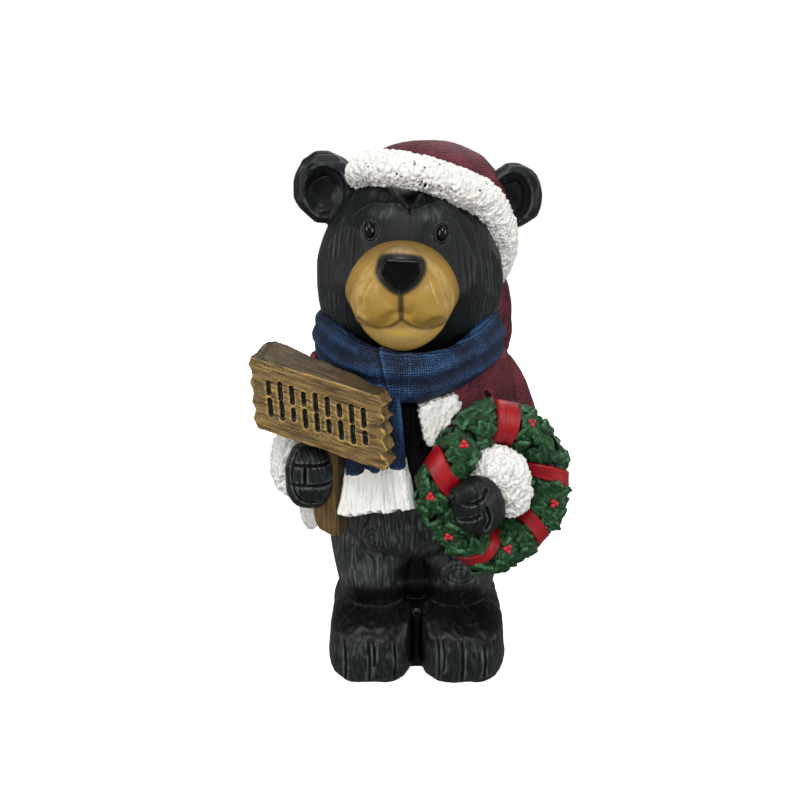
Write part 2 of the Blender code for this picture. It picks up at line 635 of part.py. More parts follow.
def carve(statue):
    """Sinks the carved lines into the melted skin."""
    mesh = statue.data
    points = np.array([v.co for v in mesh.vertices]) / MM
    normals = np.array([v.normal for v in mesh.vertices])
    tree = BVHTree.FromPolygons([tuple(p) for p in points], [tuple(p.vertices) for p in mesh.polygons])
    depth = np.zeros(len(points))
    lines = []
    for line, half_wide, deep in grooves():
        stops = np.cumsum([0, *np.linalg.norm(np.diff(line, axis=0), axis=1)])
        steps = np.linspace(0, stops[-1], int(stops[-1] / 3) + 2)
        path = [tree.ray_cast(Vector((x, -400, z)), Vector((0, 1, 0)))[0]
                for x, z in zip(*(np.interp(steps, stops, np.array(line)[:, k]) for k in (0, 1)))]
        lines.append((np.array([tuple(p) for p in path]), half_wide, deep))
    for line, half_wide, deep in lines:
        beside = (points > line.min(0) - half_wide) & (points < line.max(0) + half_wide)
        near = np.flatnonzero(beside.all(axis=1))
        gap = np.full(len(near), np.inf)
        for start, end in zip(line, line[1:]):
            run = end - start
            share = np.clip((points[near] - start) @ run / max(run @ run, 1e-9), 0, 1)
            gap = np.minimum(gap, np.linalg.norm(points[near] - start - share[:, None] * run, axis=1))
        depth[near] = np.maximum(depth[near], deep * np.clip(1 - (gap / half_wide) ** 2, 0, 1))
    moved = (points - depth[:, None] * normals) * MM
    mesh.vertices.foreach_set("co", moved.ravel())
    mesh.update()


def finish(statue):
    """Thins the skin to its final triangles, cuts the soles flat on the floor and cuts the sign's strokes."""
    mesh = statue.data
    mesh.calc_loop_triangles()
    thin = statue.modifiers.new("thin", "DECIMATE")
    thin.ratio = TRIANGLES / len(mesh.loop_triangles)
    cutter = mesh_object("cutter", *joined([box((0, 0, -40), (200, 200, 40)), *stroke_blocks()]))
    cut = statue.modifiers.new("cut", "BOOLEAN")
    cut.operation = "DIFFERENCE"
    cut.solver = "EXACT"
    cut.object = cutter
    evaluated(statue)
    bpy.data.objects.remove(cutter)
    resin = bpy.data.materials.new("painted_resin")
    resin.use_nodes = True
    shader = resin.node_tree.nodes["Principled BSDF"]
    shader.inputs["Base Color"].default_value = (0.02, 0.021, 0.022, 1)
    shader.inputs["Roughness"].default_value = 0.4
    shader.inputs["Metallic"].default_value = 0
    statue.data.materials.clear()
    statue.data.materials.append(resin)
    statue.data.shade_smooth()
    statue.data.set_sharp_from_angle(angle=math.radians(40))


def main():
    """Builds the statue as one solid on flat soles."""
    for old in list(bpy.data.objects):
        bpy.data.objects.remove(old)
    statue = melt(torso() + legs() + coat() + head() + hat() + scarf() + arms() + sign() + wreath())
    carve(statue)
    finish(statue)


main()
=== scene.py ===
"""The dressed christmas bear statue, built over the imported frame.

Every painted part of the casting is its own piece: clay forms are melted together, carved and relieved
point by point, and painted with procedural materials that read what the carving stored on the points.
Lengths are in millimetres until a piece is made. +X is the viewer's right, -Y the front and +Z up.
"""

import math
import random

import bmesh
import bpy
import numpy as np
from mathutils import Matrix, Vector, noise
from mathutils.bvhtree import BVHTree


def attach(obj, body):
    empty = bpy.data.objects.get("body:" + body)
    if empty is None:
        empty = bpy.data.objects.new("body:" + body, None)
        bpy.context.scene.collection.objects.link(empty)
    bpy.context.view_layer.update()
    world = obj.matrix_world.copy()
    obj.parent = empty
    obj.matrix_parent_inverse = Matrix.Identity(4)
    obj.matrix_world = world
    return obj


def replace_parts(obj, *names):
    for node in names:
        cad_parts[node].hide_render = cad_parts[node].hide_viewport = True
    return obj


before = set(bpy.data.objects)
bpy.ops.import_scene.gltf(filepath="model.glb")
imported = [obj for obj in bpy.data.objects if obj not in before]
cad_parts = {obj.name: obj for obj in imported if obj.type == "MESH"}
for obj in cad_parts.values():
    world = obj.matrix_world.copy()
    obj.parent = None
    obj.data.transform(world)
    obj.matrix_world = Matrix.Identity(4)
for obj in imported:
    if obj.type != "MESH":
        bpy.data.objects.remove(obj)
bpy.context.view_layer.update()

MM = 0.001
STATUE = "bear_statue"
UPRIGHT = (0, 0, 1.0)

# Body
TORSO, TORSO_SIZE, TORSO_BACK = (0, -2, 190), (77, 76, 90), 70
BELLY, BELLY_SIZE = (-1, -14, 151), (66, 64, 47)
CHEST_FRONT, CHEST_LOW, CHEST_HIGH = -64, 160, 222
FEET = ((-41, 40.5), (43.5, 41))
FOOT_Y, FOOT_FRONT, FOOT_BACK = -14, 72, 70
FOOT_Z, FOOT_UP, FOOT_DOWN = 25, 46, 36
FOOT_SQUARENESS, FOOT_TAPER, FOOT_TUCK, FOOT_INNER = 3.6, 0.08, 0.12, 0.16
INSTEP_Y, INSTEP_SLOPE, INSTEP_BLEND = -48, 0.72, 9
TRENCH_X, TRENCH_HALF_WIDE, TRENCH_TOP = 0.8, 10, 84
POCKET, POCKET_SIZE = (0.5, 93), (24, 14)
LEG_HALF_WIDE, LEG_FRONT, LEG_BACK, LEG_Z, LEG_HALF_TALL = 35, 56, 56, 92, 68
LEG_SPREAD, LEG_INWARD, FEET_TOP = 0.22, 0.88, 74
WEB, WEB_SIZE = (1, 0, 26), (17, 53, 36)
CROTCH, CROTCH_SIZE = (1, -2, 88), (22, 42, 34)
TOES = (
    (-63, 4, 41), (-41.5, 3, 42), (-37, 20, 41), (-18.5, 4, 41),
    (20, 3, 42), (24.5, 14, 41), (41, 3, 42), (61, 8, 36),
)
TOE_GROOVE = 1.5, 1.6
KNOTS = ((-38.3, 132, 9.5, 16.5), (40, 94, 19, 13))
KNOT_RINGS, KNOT_FRONT = 3, 72
GRAIN_PITCH, GRAIN_ROUND = 6.5, 80

# Head, turned a little to the viewer's left and tipped to the right
HEAD, HEAD_TURN, HEAD_TIP = (-6, 2, 352), math.radians(-3), math.radians(2)
HEAD_WIDE, HEAD_FRONT, HEAD_BACK, HEAD_UP, HEAD_DOWN = 84, 74, 74, 98, 72
EARS = (((-79.5, 2, 432), (28, 15, 31)), ((86, 6, 425), (25, 14, 28)))
EAR_DISHES, EAR_DISH = (((2, -4), (19, 22)), ((-2, -2), (17, 22))), 13
BROW_LINE = (
    (-62, 404), (-44, 416), (-38, 420), (-17, 419), (-6, 414), (9, 419), (23, 422), (34, 415), (52, 396),
)
BROW_LEDGE, BROW_CREASE = 2.2, ((-5.5, 422), (-6.5, 411))
BROW_POCKET = ((417, -4, -4), (424.5, -12.5, 1.5), (430, -19.5, 6), (440, -28, 12))
BROW_LOBES = ((-27, 412, 13, 6), (14, 412, 15, 8), (-30, 428, 14, 7), (18, 426, 15, 7))
MUZZLE, MUZZLE_SIZE, MUZZLE_DOWN = (-12, -62, 350), (47, 46, 40), 28
JAW, JAW_SIZE, JAW_DOWN, JAW_SQUARENESS = (-12, -61, 333), (39, 43, 20), 35, 1.75
CHEEKS, CHEEK_APART, CHEEK_SIZE = (-12, -83, 344), 19, (23.5, 26, 23.5)
HEAD_SQUARENESS, HEAD_NARROWING, HEAD_GRAIN_PITCH, HEAD_GRAIN_ROUND = 2.15, 0.10, 6.0, 84
NOSE, NOSE_LEAN = (-13.5, -108, 366.5), -0.05
NOSE_BED, NOSE_BED_SIZE = (-13.5, -88, 369), (20, 20, 18)
NOSE_OUTLINE = (
    (-12, 10.5), (0, 10.8), (12.5, 9.7), (15.7, 4.5), (13.5, -2),
    (6.3, -8.6), (-1, -12), (-8.6, -7.4), (-14.8, 0),
)
# Rings of the nose from back to front: the outline's share and the depth
NOSE_RINGS = ((1.08, 12), (1.06, 3), (1.02, -3.0), (0.96, -5.2), (0.9, -5.8), (0.84, -5.3), (0.5, -5.0))
SOOT_REACH = 5.0
MOUTH_GROOVE, PHILTRUM_GROOVE, MUZZLE_RIDGE = (2.2, 2.0), (1.4, 1.8), (1.4, -0.6)
PHILTRUM_HIGH, PHILTRUM_LOW = 356, 330.5
EYES, EYE_SIZE = ((-38.8, -59.5, 397.5), (20.3, -60.5, 395)), (4.4, 4.5, 6.1)
LID_SIZE, LID_THICK, LID_GROOVE, CREASE_GROOVE = (5.5, 7.2), 0.8, (1.8, 0.9), (1.5, 0.8)
EYE_TILT = (math.radians(-12), math.radians(14))
MUZZLE_RIDGES = (((-35, 361), (-41, 350), (-42.5, 339)), ((8, 364.5), (11, 355), (15, 343.5)))
MOUTH = (
    (-46, 330), (-38, 325), (-28, 322), (-20, 324), (-13, 328.5),
    (-6, 324.5), (4, 320.5), (14, 322), (24, 327),
)
# The tan's outline: its middle (x, z), its half height, and its half width at rising heights
TAN_MIDDLE, TAN_HALF_TALL = (-12, 347), 43
TAN_HEIGHTS, TAN_WIDTHS = (300, 313, 325, 345, 370, 383, 392), (22, 35, 41, 45, 38, 28, 20)

# Hat
CROWN, CROWN_SIZE, CROWN_LEFT = (10, 22, 390.5), (77, 62, 82), 80
BRIM = (
    (-45, -20, 445, 13), (-31, -40, 447.5, 14.8), (-7, -49, 445, 13.8), (19, -44, 438.5, 14.4),
    (41, -34, 429.5, 15.6), (61, -20, 416, 16.3), (75, -2, 389, 14.5), (74, 16, 359, 11),
    (62, 52, 350, 14), (20, 78, 354, 15), (-28, 72, 380, 15), (-52, 41, 416, 14), (-52, 9, 438, 13),
)
HAT_TAIL = (
    (18, 31, 430, 45), (45, 54, 392, 38), (60, 60, 352, 27),
    (68, 64, 326, 25), (73, 68, 300, 23), (75, 72, 276, 19),
)
POMPOM, POMPOM_SIZE = (71, 79, 258), 23
PIT_COUNT, PIT_LOW_SHARE, PIT_REACH, PIT_DEEP = 34, 0.7, 1.1, 1.4
FUR_DEEP, FUR_SIZE, POMPOM_FUR_SIZE = 2.8, 3.8, 4
BRIM_FUR_SIZE, BRIM_FUR_DEEP = 3.4, 2.4

# Scarf
SCARF, SCARF_WIDE, SCARF_FRONT, SCARF_BACK = (-6, 0), 73, 80, 68
SCARF_Z, SCARF_DIP, SCARF_HALF_TALL, SCARF_HALF_THICK, SCARF_NARROWING = 304, 25.5, 24, 13, 0.22
SCARF_END = ((-60, 275), (-16, 275), (-8.5, 205), (-60, 197))
SCARF_END_FRONT, SCARF_END_THICK, FRINGE_FRONT = -93, 18, -104
FRINGE_STRANDS, FRINGE_LONG, FRINGE_EDGES = 15, 33, (-67, 1)
SCARF_ROUND, SCARF_LAP, SCARF_FOLD = 80, 3.0, 1.3
SCARF_PARTS = 80

# Coat, as rings of height, half width, front and back depth
COAT = (
    (294, 72, 58, 62), (288, 84, 66, 68), (262, 90, 76, 74), (235, 93, 81, 77), (200, 95, 84, 80),
    (160, 98, 85, 84), (126, 100, 85, 87),
)
COAT_OPENING = (
    (-14, 280), (2, 280), (3, 258), (10, 225), (50, 180), (76, 136), (94, 100), (-106, 100), (-90, 136),
    (-62, 180), (-30, 225),
)
COAT_SIDES = 64
LAPEL_WIDE, LAPEL_THICK, LAPEL_LIMIT = 27, 8, 92
LAPEL_PROFILE = ((0, 0), (0.15, LAPEL_THICK), (0.8, LAPEL_THICK), (1, -6))
LAPEL_CORE, LAPEL_SINK = 0.6, 30
COLLAR = ((1, 256.5), (31.5, 265), (37.5, 253), (23, 236.5), (16.5, 228), (9, 222), (4.5, 237))
COLLAR_LIFT, COLLAR_PIT, COLLAR_PIT_SIZE = 10, ((60.5, 260), (63, 257.5)), (3.4, 3.5)
OPENING_FRONT, OPENING_BACK = -140, -8
RIGHT_EDGE, LEFT_EDGE = COAT_OPENING[3:6], COAT_OPENING[:7:-1]
COAT_ROUND, CROWN_ROUND = 92, 85
HEM_Z, HEM_HALF_TALL, HEM_HALF_THICK = 139.5, 14, 8
HEM_PARTS, HEM_SWELL, HEM_SWELLS = 120, 0.08, 17

# Arms
SLEEVES = (
    ((-68, 4, 273, 29), (-84, 8, 242, 29), (-93, 2, 216, 28), (-96, -28, 202, 26), (-94, -56, 198, 24)),
    ((63, 4, 268, 28), (77, 8, 242, 30), (87, 4, 214, 29), (90, -30, 206, 26), (80, -84, 202, 23)),
)
CUFFS = (
    ((-97, -58, 199), (28.5, 15, 31), (0.10, -0.99, 0.06)),
    ((68, -105, 198), (26.5, 16, 31), (-0.62, -0.72, -0.30)),
)
PAWS = (
    ((-89.5, -88, 198), (20, 24, 27.5), (0.05, -1, 0)),
    ((48.5, -120, 182.5), (21, 20, 23), (-0.62, -0.72, -0.30)),
)
THUMB, THUMB_SIZE, THUMB_TURN = (39, -131, 197), (15, 10, 8.5), math.radians(-14)
PAW_LINES = (
    (
        ((-101.9, 196), (-69.5, 195.5)), ((-101.9, 212.5), (-69.5, 212)), ((-91, 211), (-91, 198)),
        ((-98, 222), (-101.5, 212), (-102, 201), (-98, 187), (-90, 181), (-79, 180.5)),
    ),
    (
        ((28, 190), (41, 190.5), (50, 195), (54, 201)), ((33, 174), (41, 176.5), (48, 181)),
        ((54, 169), (57, 178), (54, 188)),
    ),
)
PAW_GROOVE, PAW_GRAIN_PITCH = (1.9, 2.3), 5.0

# Sign
SIGN_LEFT, SIGN_RIGHT, SIGN_TALL, SIGN_UP = (-133, -92, 269), (-29, -126, 244), (59, 60), (-0.07, 0.06, 1)
SIGN_THICK = (25, 20)
SIGN_MIDDLE = np.add(SIGN_LEFT, SIGN_RIGHT) / 2
SIGN_HALF_LONG = np.linalg.norm(np.subtract(SIGN_RIGHT, SIGN_LEFT)) / 2
SIGN_RISE = ((1, 1), (0.5, 5), (0.1, 8), (-0.3, 10), (-0.6, 13), (-0.8, 12.5), (-0.94, 9), (-1, 5))
SIGN_TEETH, SIGN_TOOTH = (4, 5), (3, 4.5)
STROKE_ROWS, STROKES_PER_ROW, STROKE_TALL, STROKE_WIDE, STROKE_DEEP = 2, 9, 12, 2.6, 2.2
STROKE_REACH, STROKE_GAP, SHORT_STROKE = 0.84, 4, 0.65
POST = (
    (-86.5, 165), (-85, 157), (-81.5, 150.5), (-73, 146), (-70, 144.5), (-62.8, 144.5), (-57.5, 150.5),
    (-57.5, 262), (-86.5, 262),
)
POST_FRONT, POST_THICK, POST_EDGE = -92, 16, -66

# Wreath
WREATH, WREATH_TURN, WREATH_WIDE, WREATH_TALL, WREATH_TUBE = (63.5, -95, 190), math.radians(14), 48, 55.8, 13
WREATH_DRAWN_IN = 0.085
LEAF_LONG, LEAF_HALF_WIDE, LEAF_THICK, LEAF_PARTS = 13.5, 5.4, 1.5, (0.2, 0.4, 0.6, 0.8, 1)
ROSETTES = ((0.0, 16), (0.8, 17), (-0.8, 13), (1.5, 19), (-1.5, 8), (2.4, 16), (-2.3, 6), (3.14, 13))
RIBBONS = ((83.5, -2, 9.8), (166.5, -14, 9.2), (257, -15, 5.5), (319, -5, 6.4), (12.5, -11, 6.6))
RIBBON_LIFT, RIBBON_MARGIN, ROSETTE_OFF, BESIDE_RIBBONS = 5, 0.8, 4, (-1.1, -0.4, 0.3, 1.0)
BERRIES = ((130, 0.4), (63, 0.6), (179, 0.6), (347, 0.0), (215, 0.6), (280, -0.3))
BERRY_SIZE, BERRY_SPREAD = 2.1, 2.1
WREATH_RINGS, WREATH_SIDES, RIBBON_RINGS, RIBBON_SIDES = 90, 20, 13, 40
LEAF_ROWS, LEAF_COLUMNS, LEAVES_A_ROSETTE, SHORTEST_LEAF = 8, 7, 5, 0.6

# Voxel sizes, and the share of each carved piece's faces that is kept
BODY_GRAIN, HEAD_GRAIN, CLOTH_GRAIN, FUR_GRAIN, FINE_GRAIN = 1.3, 1.15, 1.5, 0.85, 0.85
SCARF_GRAIN, SCARF_END_GRAIN, COAT_GRAIN, TRIM_GRAIN, WREATH_GRAIN = 1.25, 1.1, 1.7, 1.15, 1.4
KEPT_FACES = 0.53

FLOOR_HALF = 4000

# Lights: name, place and size in metres, power in watts, and whether gloss mirrors it
LIGHTS = (
    ("key", (-1.9, -1.1, 0.9), 1.5, 20, True), ("fill", (2.0, -0.9, 0.7), 1.4, 20, True),
    ("front", (-0.1, -1.6, 1.1), 1.0, 12, False), ("low", (0.1, -1.3, 0.15), 0.6, 4, False),
    ("sparkle", (-0.05, -0.85, 1.3), 0.3, 5, True), ("top", (0.0, 0.3, 1.7), 0.9, 7, True),
    ("back", (0.5, 1.7, 1.9), 1.0, 14, True),
)
LIT_POINT, WORLD_LIGHT, FLOOR_GLOW = (0, 0, 0.25), 0.2, 0.9

# The camera's place in metres, its downward tilt in degrees, and its lens in millimetres
CAMERA, CAMERA_DOWN, CAMERA_LENS, CAMERA_NEAREST = (-0.014, -0.80, 0.43), 13.27, 40.18, 0.01


def unit(vector):
    """The vector at length 1, as an array."""
    return np.array(vector, float) / np.linalg.norm(vector)


def spin(angle, axis):
    """A rotation about a main axis, as an array."""
    return np.array(Matrix.Rotation(angle, 3, axis))


def step(low, high, values):
    """0 below low, 1 above high and smooth between."""
    share = np.clip((values - low) / (high - low), 0, 1)
    return share * share * (3 - 2 * share)


def circle(count, offset=0.0):
    """Evenly spaced turns round a circle."""
    return [2 * math.pi * (i + offset) / count for i in range(count)]


def layers(across, up):
    """Two values at each point as a flat direction for a paint's streaks or threads."""
    return np.column_stack([across, up, 0 * up])


def round_middle(x, y, middle, radius):
    """How far round a middle points lie from the front, alike on both sides so that no seam shows behind."""
    return radius * np.abs(np.arctan2(x - middle[0], -(y - middle[1])))


def ball(cuts):
    """Unit directions and quads of a cube with its faces cut evenly and blown up to a ball."""
    bm = bmesh.new()
    bmesh.ops.create_cube(bm, size=2)
    bmesh.ops.subdivide_edges(bm, edges=bm.edges, cuts=cuts - 1, use_grid_fill=True)
    flat = np.array([v.co for v in bm.verts])
    faces = [[v.index for v in f.verts] for f in bm.faces]
    bm.free()
    rounded = np.tan(flat * math.pi / 4)
    return rounded / np.linalg.norm(rounded, axis=1)[:, None], faces


def blob(centre, size, squareness=2.0, low=None, turn=None, shape=None, cuts=16):
    """A rounded lump. size is its half sizes, and low gives other half sizes on the -X, -Y and -Z sides.
    squareness 2 is an ellipsoid and more is boxier. shape changes the points before they are turned."""
    directions, faces = ball(cuts)
    reach = (np.abs(directions) ** squareness).sum(axis=1) ** (-1 / squareness)
    halves = np.where(directions < 0, np.array(low or size, float), np.array(size, float))
    points = directions * reach[:, None] * halves
    if shape:
        points = shape(points)
    if turn is not None:
        points = points @ np.asarray(turn).T
    return points + centre, faces


def turned_to(axis):
    """The rotation that turns local -Y to the given direction and keeps local Z as upright as it can be."""
    back = -unit(axis)
    side = unit(np.cross(back, (0, 0, 1)))
    return np.column_stack([side, back, np.cross(side, back)])


def ring_faces(rings, sides, closed):
    """Quads between rings of points, with a face over each end of an open row of rings."""
    faces = []
    for r in range(rings if closed else rings - 1):
        here, ahead = r * sides, (r + 1) % rings * sides
        pairs = [(s, (s + 1) % sides) for s in range(sides)]
        faces += [[here + s, here + t, ahead + t, ahead + s] for s, t in pairs]
    if not closed:
        faces += [list(range(sides)), list(range(rings * sides - 1, (rings - 1) * sides - 1, -1))]
    return faces


def smooth_path(stations, steps, closed=False):
    """Points read from a smooth curve through the stations."""
    stations = np.array(stations, float)
    if closed:
        padded = np.vstack([stations[-1], stations, stations[:2]])
    else:
        padded = np.vstack([2 * stations[0] - stations[1], stations, 2 * stations[-1] - stations[-2]])
    found = []
    for a, b, c, d in zip(padded, padded[1:], padded[2:], padded[3:]):
        for t in np.linspace(0, 1, steps, endpoint=False):
            bend = (2 * a - 5 * b + 4 * c - d) * t**2 + (3 * b - a - 3 * c + d) * t**3
            found.append(0.5 * (2 * b + (c - a) * t + bend))
    return np.array(found) if closed else np.vstack([found, stations[-1]])


def limb(stations, steps=6, sides=24, flatten=1.0):
    """A tapering tube with rounded ends along a smooth curve through the stations (x, y, z, radius)."""
    path = smooth_path(stations, steps)
    ahead = np.gradient(path[:, :3], axis=0)
    points = []
    for (*centre, radius), direction in zip(path, ahead):
        direction = unit(direction)
        side = unit(np.cross(direction, (0.35, 0.9, 0.2)))
        up = np.cross(side, direction)
        points += [centre + radius * (math.cos(turn) * side + flatten * math.sin(turn) * up)
                   for turn in circle(sides)]
    return points, ring_faces(len(path), sides, closed=False)


def band(centres, outward, upward, thick, tall, sides=16):
    """A closed band of oval section through the centres, with half sizes thick and tall at each."""
    points = []
    for centre, out, up, half_thick, half_tall in zip(centres, outward, upward, thick, tall):
        points += [centre + math.cos(turn) * half_thick * out + math.sin(turn) * half_tall * up
                   for turn in circle(sides)]
    return points, ring_faces(len(centres), sides, closed=True)


def prism(front, back):
    """A closed shape between two outlines with the same number of points."""
    count = len(front)
    sides = [[i, (i + 1) % count, count + (i + 1) % count, count + i] for i in range(count)]
    return [*front, *back], [list(range(count)), list(range(2 * count - 1, count - 1, -1)), *sides]


def slab(outline, front, back):
    """A prism over an outline of (x, z) points, between two depths."""
    return prism([(x, front, z) for x, z in outline], [(x, back, z) for x, z in outline])


def raw_mesh(name, points, faces):
    """A mesh in metres from points in millimetres, with its faces pointing out."""
    mesh = bpy.data.meshes.new(name)
    mesh.from_pydata([tuple(p) for p in np.asarray(points, float) * MM], [], faces)
    bm = bmesh.new()
    bm.from_mesh(mesh)
    bmesh.ops.recalc_face_normals(bm, faces=bm.faces)
    bm.to_mesh(mesh)
    bm.free()
    return mesh


def linked(name, mesh):
    """An object in the scene that shows the mesh."""
    made = bpy.data.objects.new(name, mesh)
    bpy.context.scene.collection.objects.link(made)
    return made


def evaluated(made):
    """The mesh of an object with its modifiers."""
    graph = bpy.context.evaluated_depsgraph_get()
    source = made.evaluated_get(graph)
    return bpy.data.meshes.new_from_object(source, preserve_all_data_layers=True, depsgraph=graph)


def joined(pieces):
    """The points and faces of several pieces as one list of each."""
    points, faces = [], []
    for piece_points, piece_faces in pieces:
        start = len(points)
        points += list(piece_points)
        faces += [[start + i for i in face] for face in piece_faces]
    return points, faces


def melted(name, pieces, grain):
    """A mesh of overlapping pieces melted into one skin of small quads."""
    made = linked(name, raw_mesh(name, *joined(pieces)))
    remesh = made.modifiers.new("melt", "REMESH")
    remesh.mode = "VOXEL"
    remesh.voxel_size = grain * MM
    mesh = evaluated(made)
    bpy.data.objects.remove(made)
    return mesh


def painted(name, mesh, material, slot=None, **marks):
    """The finished piece: its marks are stored on its points for the material, and it rides on the statue."""
    for mark, values in marks.items():
        kind, field = ("FLOAT_VECTOR", "vector") if np.ndim(values) == 2 else ("FLOAT", "value")
        stored = mesh.attributes.new(mark, kind, "POINT")
        stored.data.foreach_set(field, np.ravel(values).astype(np.float32))
    mesh.materials.clear()
    mesh.materials.append(material)
    mesh.shade_smooth()
    made = linked(name, mesh)
    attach(made, "root")
    return made


def thinned(made):
    """The piece with faces merged where it is flattest. The statue stays under a million triangles."""
    made.modifiers.new("thin", "DECIMATE").ratio = KEPT_FACES
    made.data = evaluated(made)
    made.modifiers.clear()
    return made


class Clay:
    """A melted skin that is pushed about point by point before it becomes a piece."""

    def __init__(self, name, pieces, grain, smoothing=2):
        self.name = name
        self.mesh = melted(name, pieces, grain)
        flat = np.empty(3 * len(self.mesh.vertices), np.float32)
        self.mesh.vertices.foreach_get("co", flat)
        edges = np.empty(2 * len(self.mesh.edges), np.int32)
        self.mesh.edges.foreach_get("vertices", edges)
        edges = edges.reshape(-1, 2)
        self.ends = np.concatenate([edges, edges[:, ::-1]])
        self.points = flat.reshape(-1, 3).astype(float) / MM
        self.degree = np.bincount(self.ends[:, 0], minlength=len(self.points))
        self.points = self.relaxed(self.points, smoothing)

    def relaxed(self, values, times):
        """Values averaged with their neighbours' that many times."""
        values = np.array(values, float)
        columns = values.reshape(len(values), -1)
        here, there = self.ends.T
        for _ in range(times):
            near = [np.bincount(here, columns[there, k], len(columns)) for k in range(columns.shape[1])]
            columns = 0.5 * columns + 0.5 * np.column_stack(near) / self.degree[:, None]
        return columns.reshape(values.shape)

    def normals(self):
        """The outward direction at each point."""
        self.mesh.vertices.foreach_set("co", (self.points * MM).astype(np.float32).ravel())
        self.mesh.update()
        found = np.empty(3 * len(self.points), np.float32)
        self.mesh.vertex_normals.foreach_get("vector", found)
        return found.reshape(-1, 3).astype(float)

    def push(self, amount):
        """Moves each point out by its amount."""
        self.points = self.points + np.asarray(amount)[:, None] * self.normals()

    def height(self, times):
        """How far each point stands out from its smoothed surroundings."""
        return ((self.points - self.relaxed(self.points, times)) * self.normals()).sum(axis=1)

    def seen_from_front(self, line, spacing=2.0):
        """An (x, z) line laid on the skin from the front."""
        self.normals()
        faces = np.empty(4 * len(self.mesh.polygons), np.int32)
        self.mesh.polygons.foreach_get("vertices", faces)
        tree = BVHTree.FromPolygons(self.points.tolist(), faces.reshape(-1, 4).tolist())
        line = np.array(line, float)
        stops = np.cumsum([0, *np.linalg.norm(np.diff(line, axis=0), axis=1)])
        steps = np.linspace(0, stops[-1], int(stops[-1] / spacing) + 2)
        hits = [tree.ray_cast(Vector((x, -400, z)), Vector((0, 1, 0)))[0]
                for x, z in zip(*(np.interp(steps, stops, line[:, k]) for k in (0, 1)))]
        return np.array([tuple(p) for p in hits if p])

    def gap_to(self, line, reach):
        """Each point's distance to a line in space, or reach where it is further."""
        line = np.asarray(line, float)
        within = (self.points > line.min(0) - reach) & (self.points < line.max(0) + reach)
        near = np.flatnonzero(within.all(axis=1))
        gap = np.full(len(self.points), float(reach))
        for start, end in zip(line, line[1:]):
            run = end - start
            share = np.clip((self.points[near] - start) @ run / max(run @ run, 1e-9), 0, 1)
            away = np.linalg.norm(self.points[near] - start - share[:, None] * run, axis=1)
            gap[near] = np.minimum(gap[near], away)
        return gap

    def carve(self, lines, half_wide, deep):
        """Sinks grooves along lines in space, and says how deep each point lies in one, from 0 to 1."""
        inside = np.zeros(len(self.points))
        for line in lines:
            inside = np.maximum(inside, np.clip(1 - (self.gap_to(line, half_wide) / half_wide) ** 2, 0, 1))
        self.push(-deep * inside)
        return inside

    def piece(self, material, slot=None, **marks):
        """The finished piece, with its height over its surroundings among its marks."""
        fine, broad = self.height(4), self.height(24)
        self.normals()
        return thinned(painted(self.name, self.mesh, material, slot, fine=fine, broad=broad, **marks))


def noise_at(points, size, seed=0):
    """Smooth noise from about -1 to 1 with features of the given size, or one size an axis."""
    scaled = np.asarray(points, float) / size + seed * 17.31
    return np.array([noise.noise(p) for p in scaled.tolist()])


def whittle(points, centre, size, count, depth, seed):
    """Points cut back by flat facets, as a knife leaves them. The facets lie depth inside an ellipsoid."""
    rng = np.random.default_rng(seed)
    facets = rng.normal(size=(count, 3))
    facets /= np.linalg.norm(facets, axis=1)[:, None]
    local = points - centre
    for facet in facets:
        support = np.linalg.norm(facet * size)
        over = np.maximum(local @ facet - (support - depth), 0)
        local = local - over[:, None] * facet
    return local + centre


def torso():
    """The round belly."""
    wide, front, up = TORSO_SIZE
    return [blob(TORSO, (wide, TORSO_BACK, up), 2.4, low=(wide, front, up)),
            blob(BELLY, BELLY_SIZE, 2.6, cuts=24)]


def leg_spread(points):
    """A leg's points, spread towards the hip."""
    points[:, 0] *= 1 + LEG_SPREAD * np.clip((points[:, 2] + 25) / 40, 0, 1.3)
    return points


def foot_shape(points, outer):
    """A foot's points, filled out at the top on the inner side, and tucked in under the sole and drawn in
    towards the ankle on the outer side, with the instep sloping down to the toes."""
    tuck = np.where(points[:, 0] * outer > 0, FOOT_TUCK, 0)
    points[:, 0] *= 1 - tuck * np.clip((-8 - points[:, 2]) / 17, 0, 1) ** 2
    share = np.clip(points[:, 2] / FOOT_UP, 0, 0.99)
    points[:, 0] *= np.where(points[:, 0] * outer < 0, (1 - share**FOOT_SQUARENESS) ** -FOOT_INNER, 1)
    drawn_in = 1 - FOOT_TAPER * np.clip((points[:, 2] + 18) / 30, 0, 1)
    points[:, 0] *= np.where(points[:, 0] * outer > 0, drawn_in, 1)
    ceiling = FOOT_UP + INSTEP_SLOPE * np.minimum(0, points[:, 1] + FOOT_Y - INSTEP_Y)
    points[:, 2] = ceiling - INSTEP_BLEND * np.log1p(np.exp((ceiling - points[:, 2]) / INSTEP_BLEND))
    return points


def legs():
    """Two short legs on broad feet, and the web of resin that joins them."""
    pieces = [blob(WEB, WEB_SIZE, 6), blob(CROTCH, CROTCH_SIZE, 3)]
    for x, half_wide in FEET:
        leg_low, foot_low = (LEG_HALF_WIDE, LEG_FRONT, LEG_HALF_TALL), (half_wide, FOOT_FRONT, FOOT_DOWN)
        pieces.append(blob((x * LEG_INWARD, 0, LEG_Z), (LEG_HALF_WIDE, LEG_BACK, LEG_HALF_TALL), 2.8,
                           low=leg_low, shape=leg_spread, cuts=24))
        pieces.append(blob((x, FOOT_Y, FOOT_Z), (half_wide, FOOT_BACK, FOOT_UP), FOOT_SQUARENESS,
                           low=foot_low, shape=lambda p, outer=x: foot_shape(p, outer), cuts=30))
    return pieces


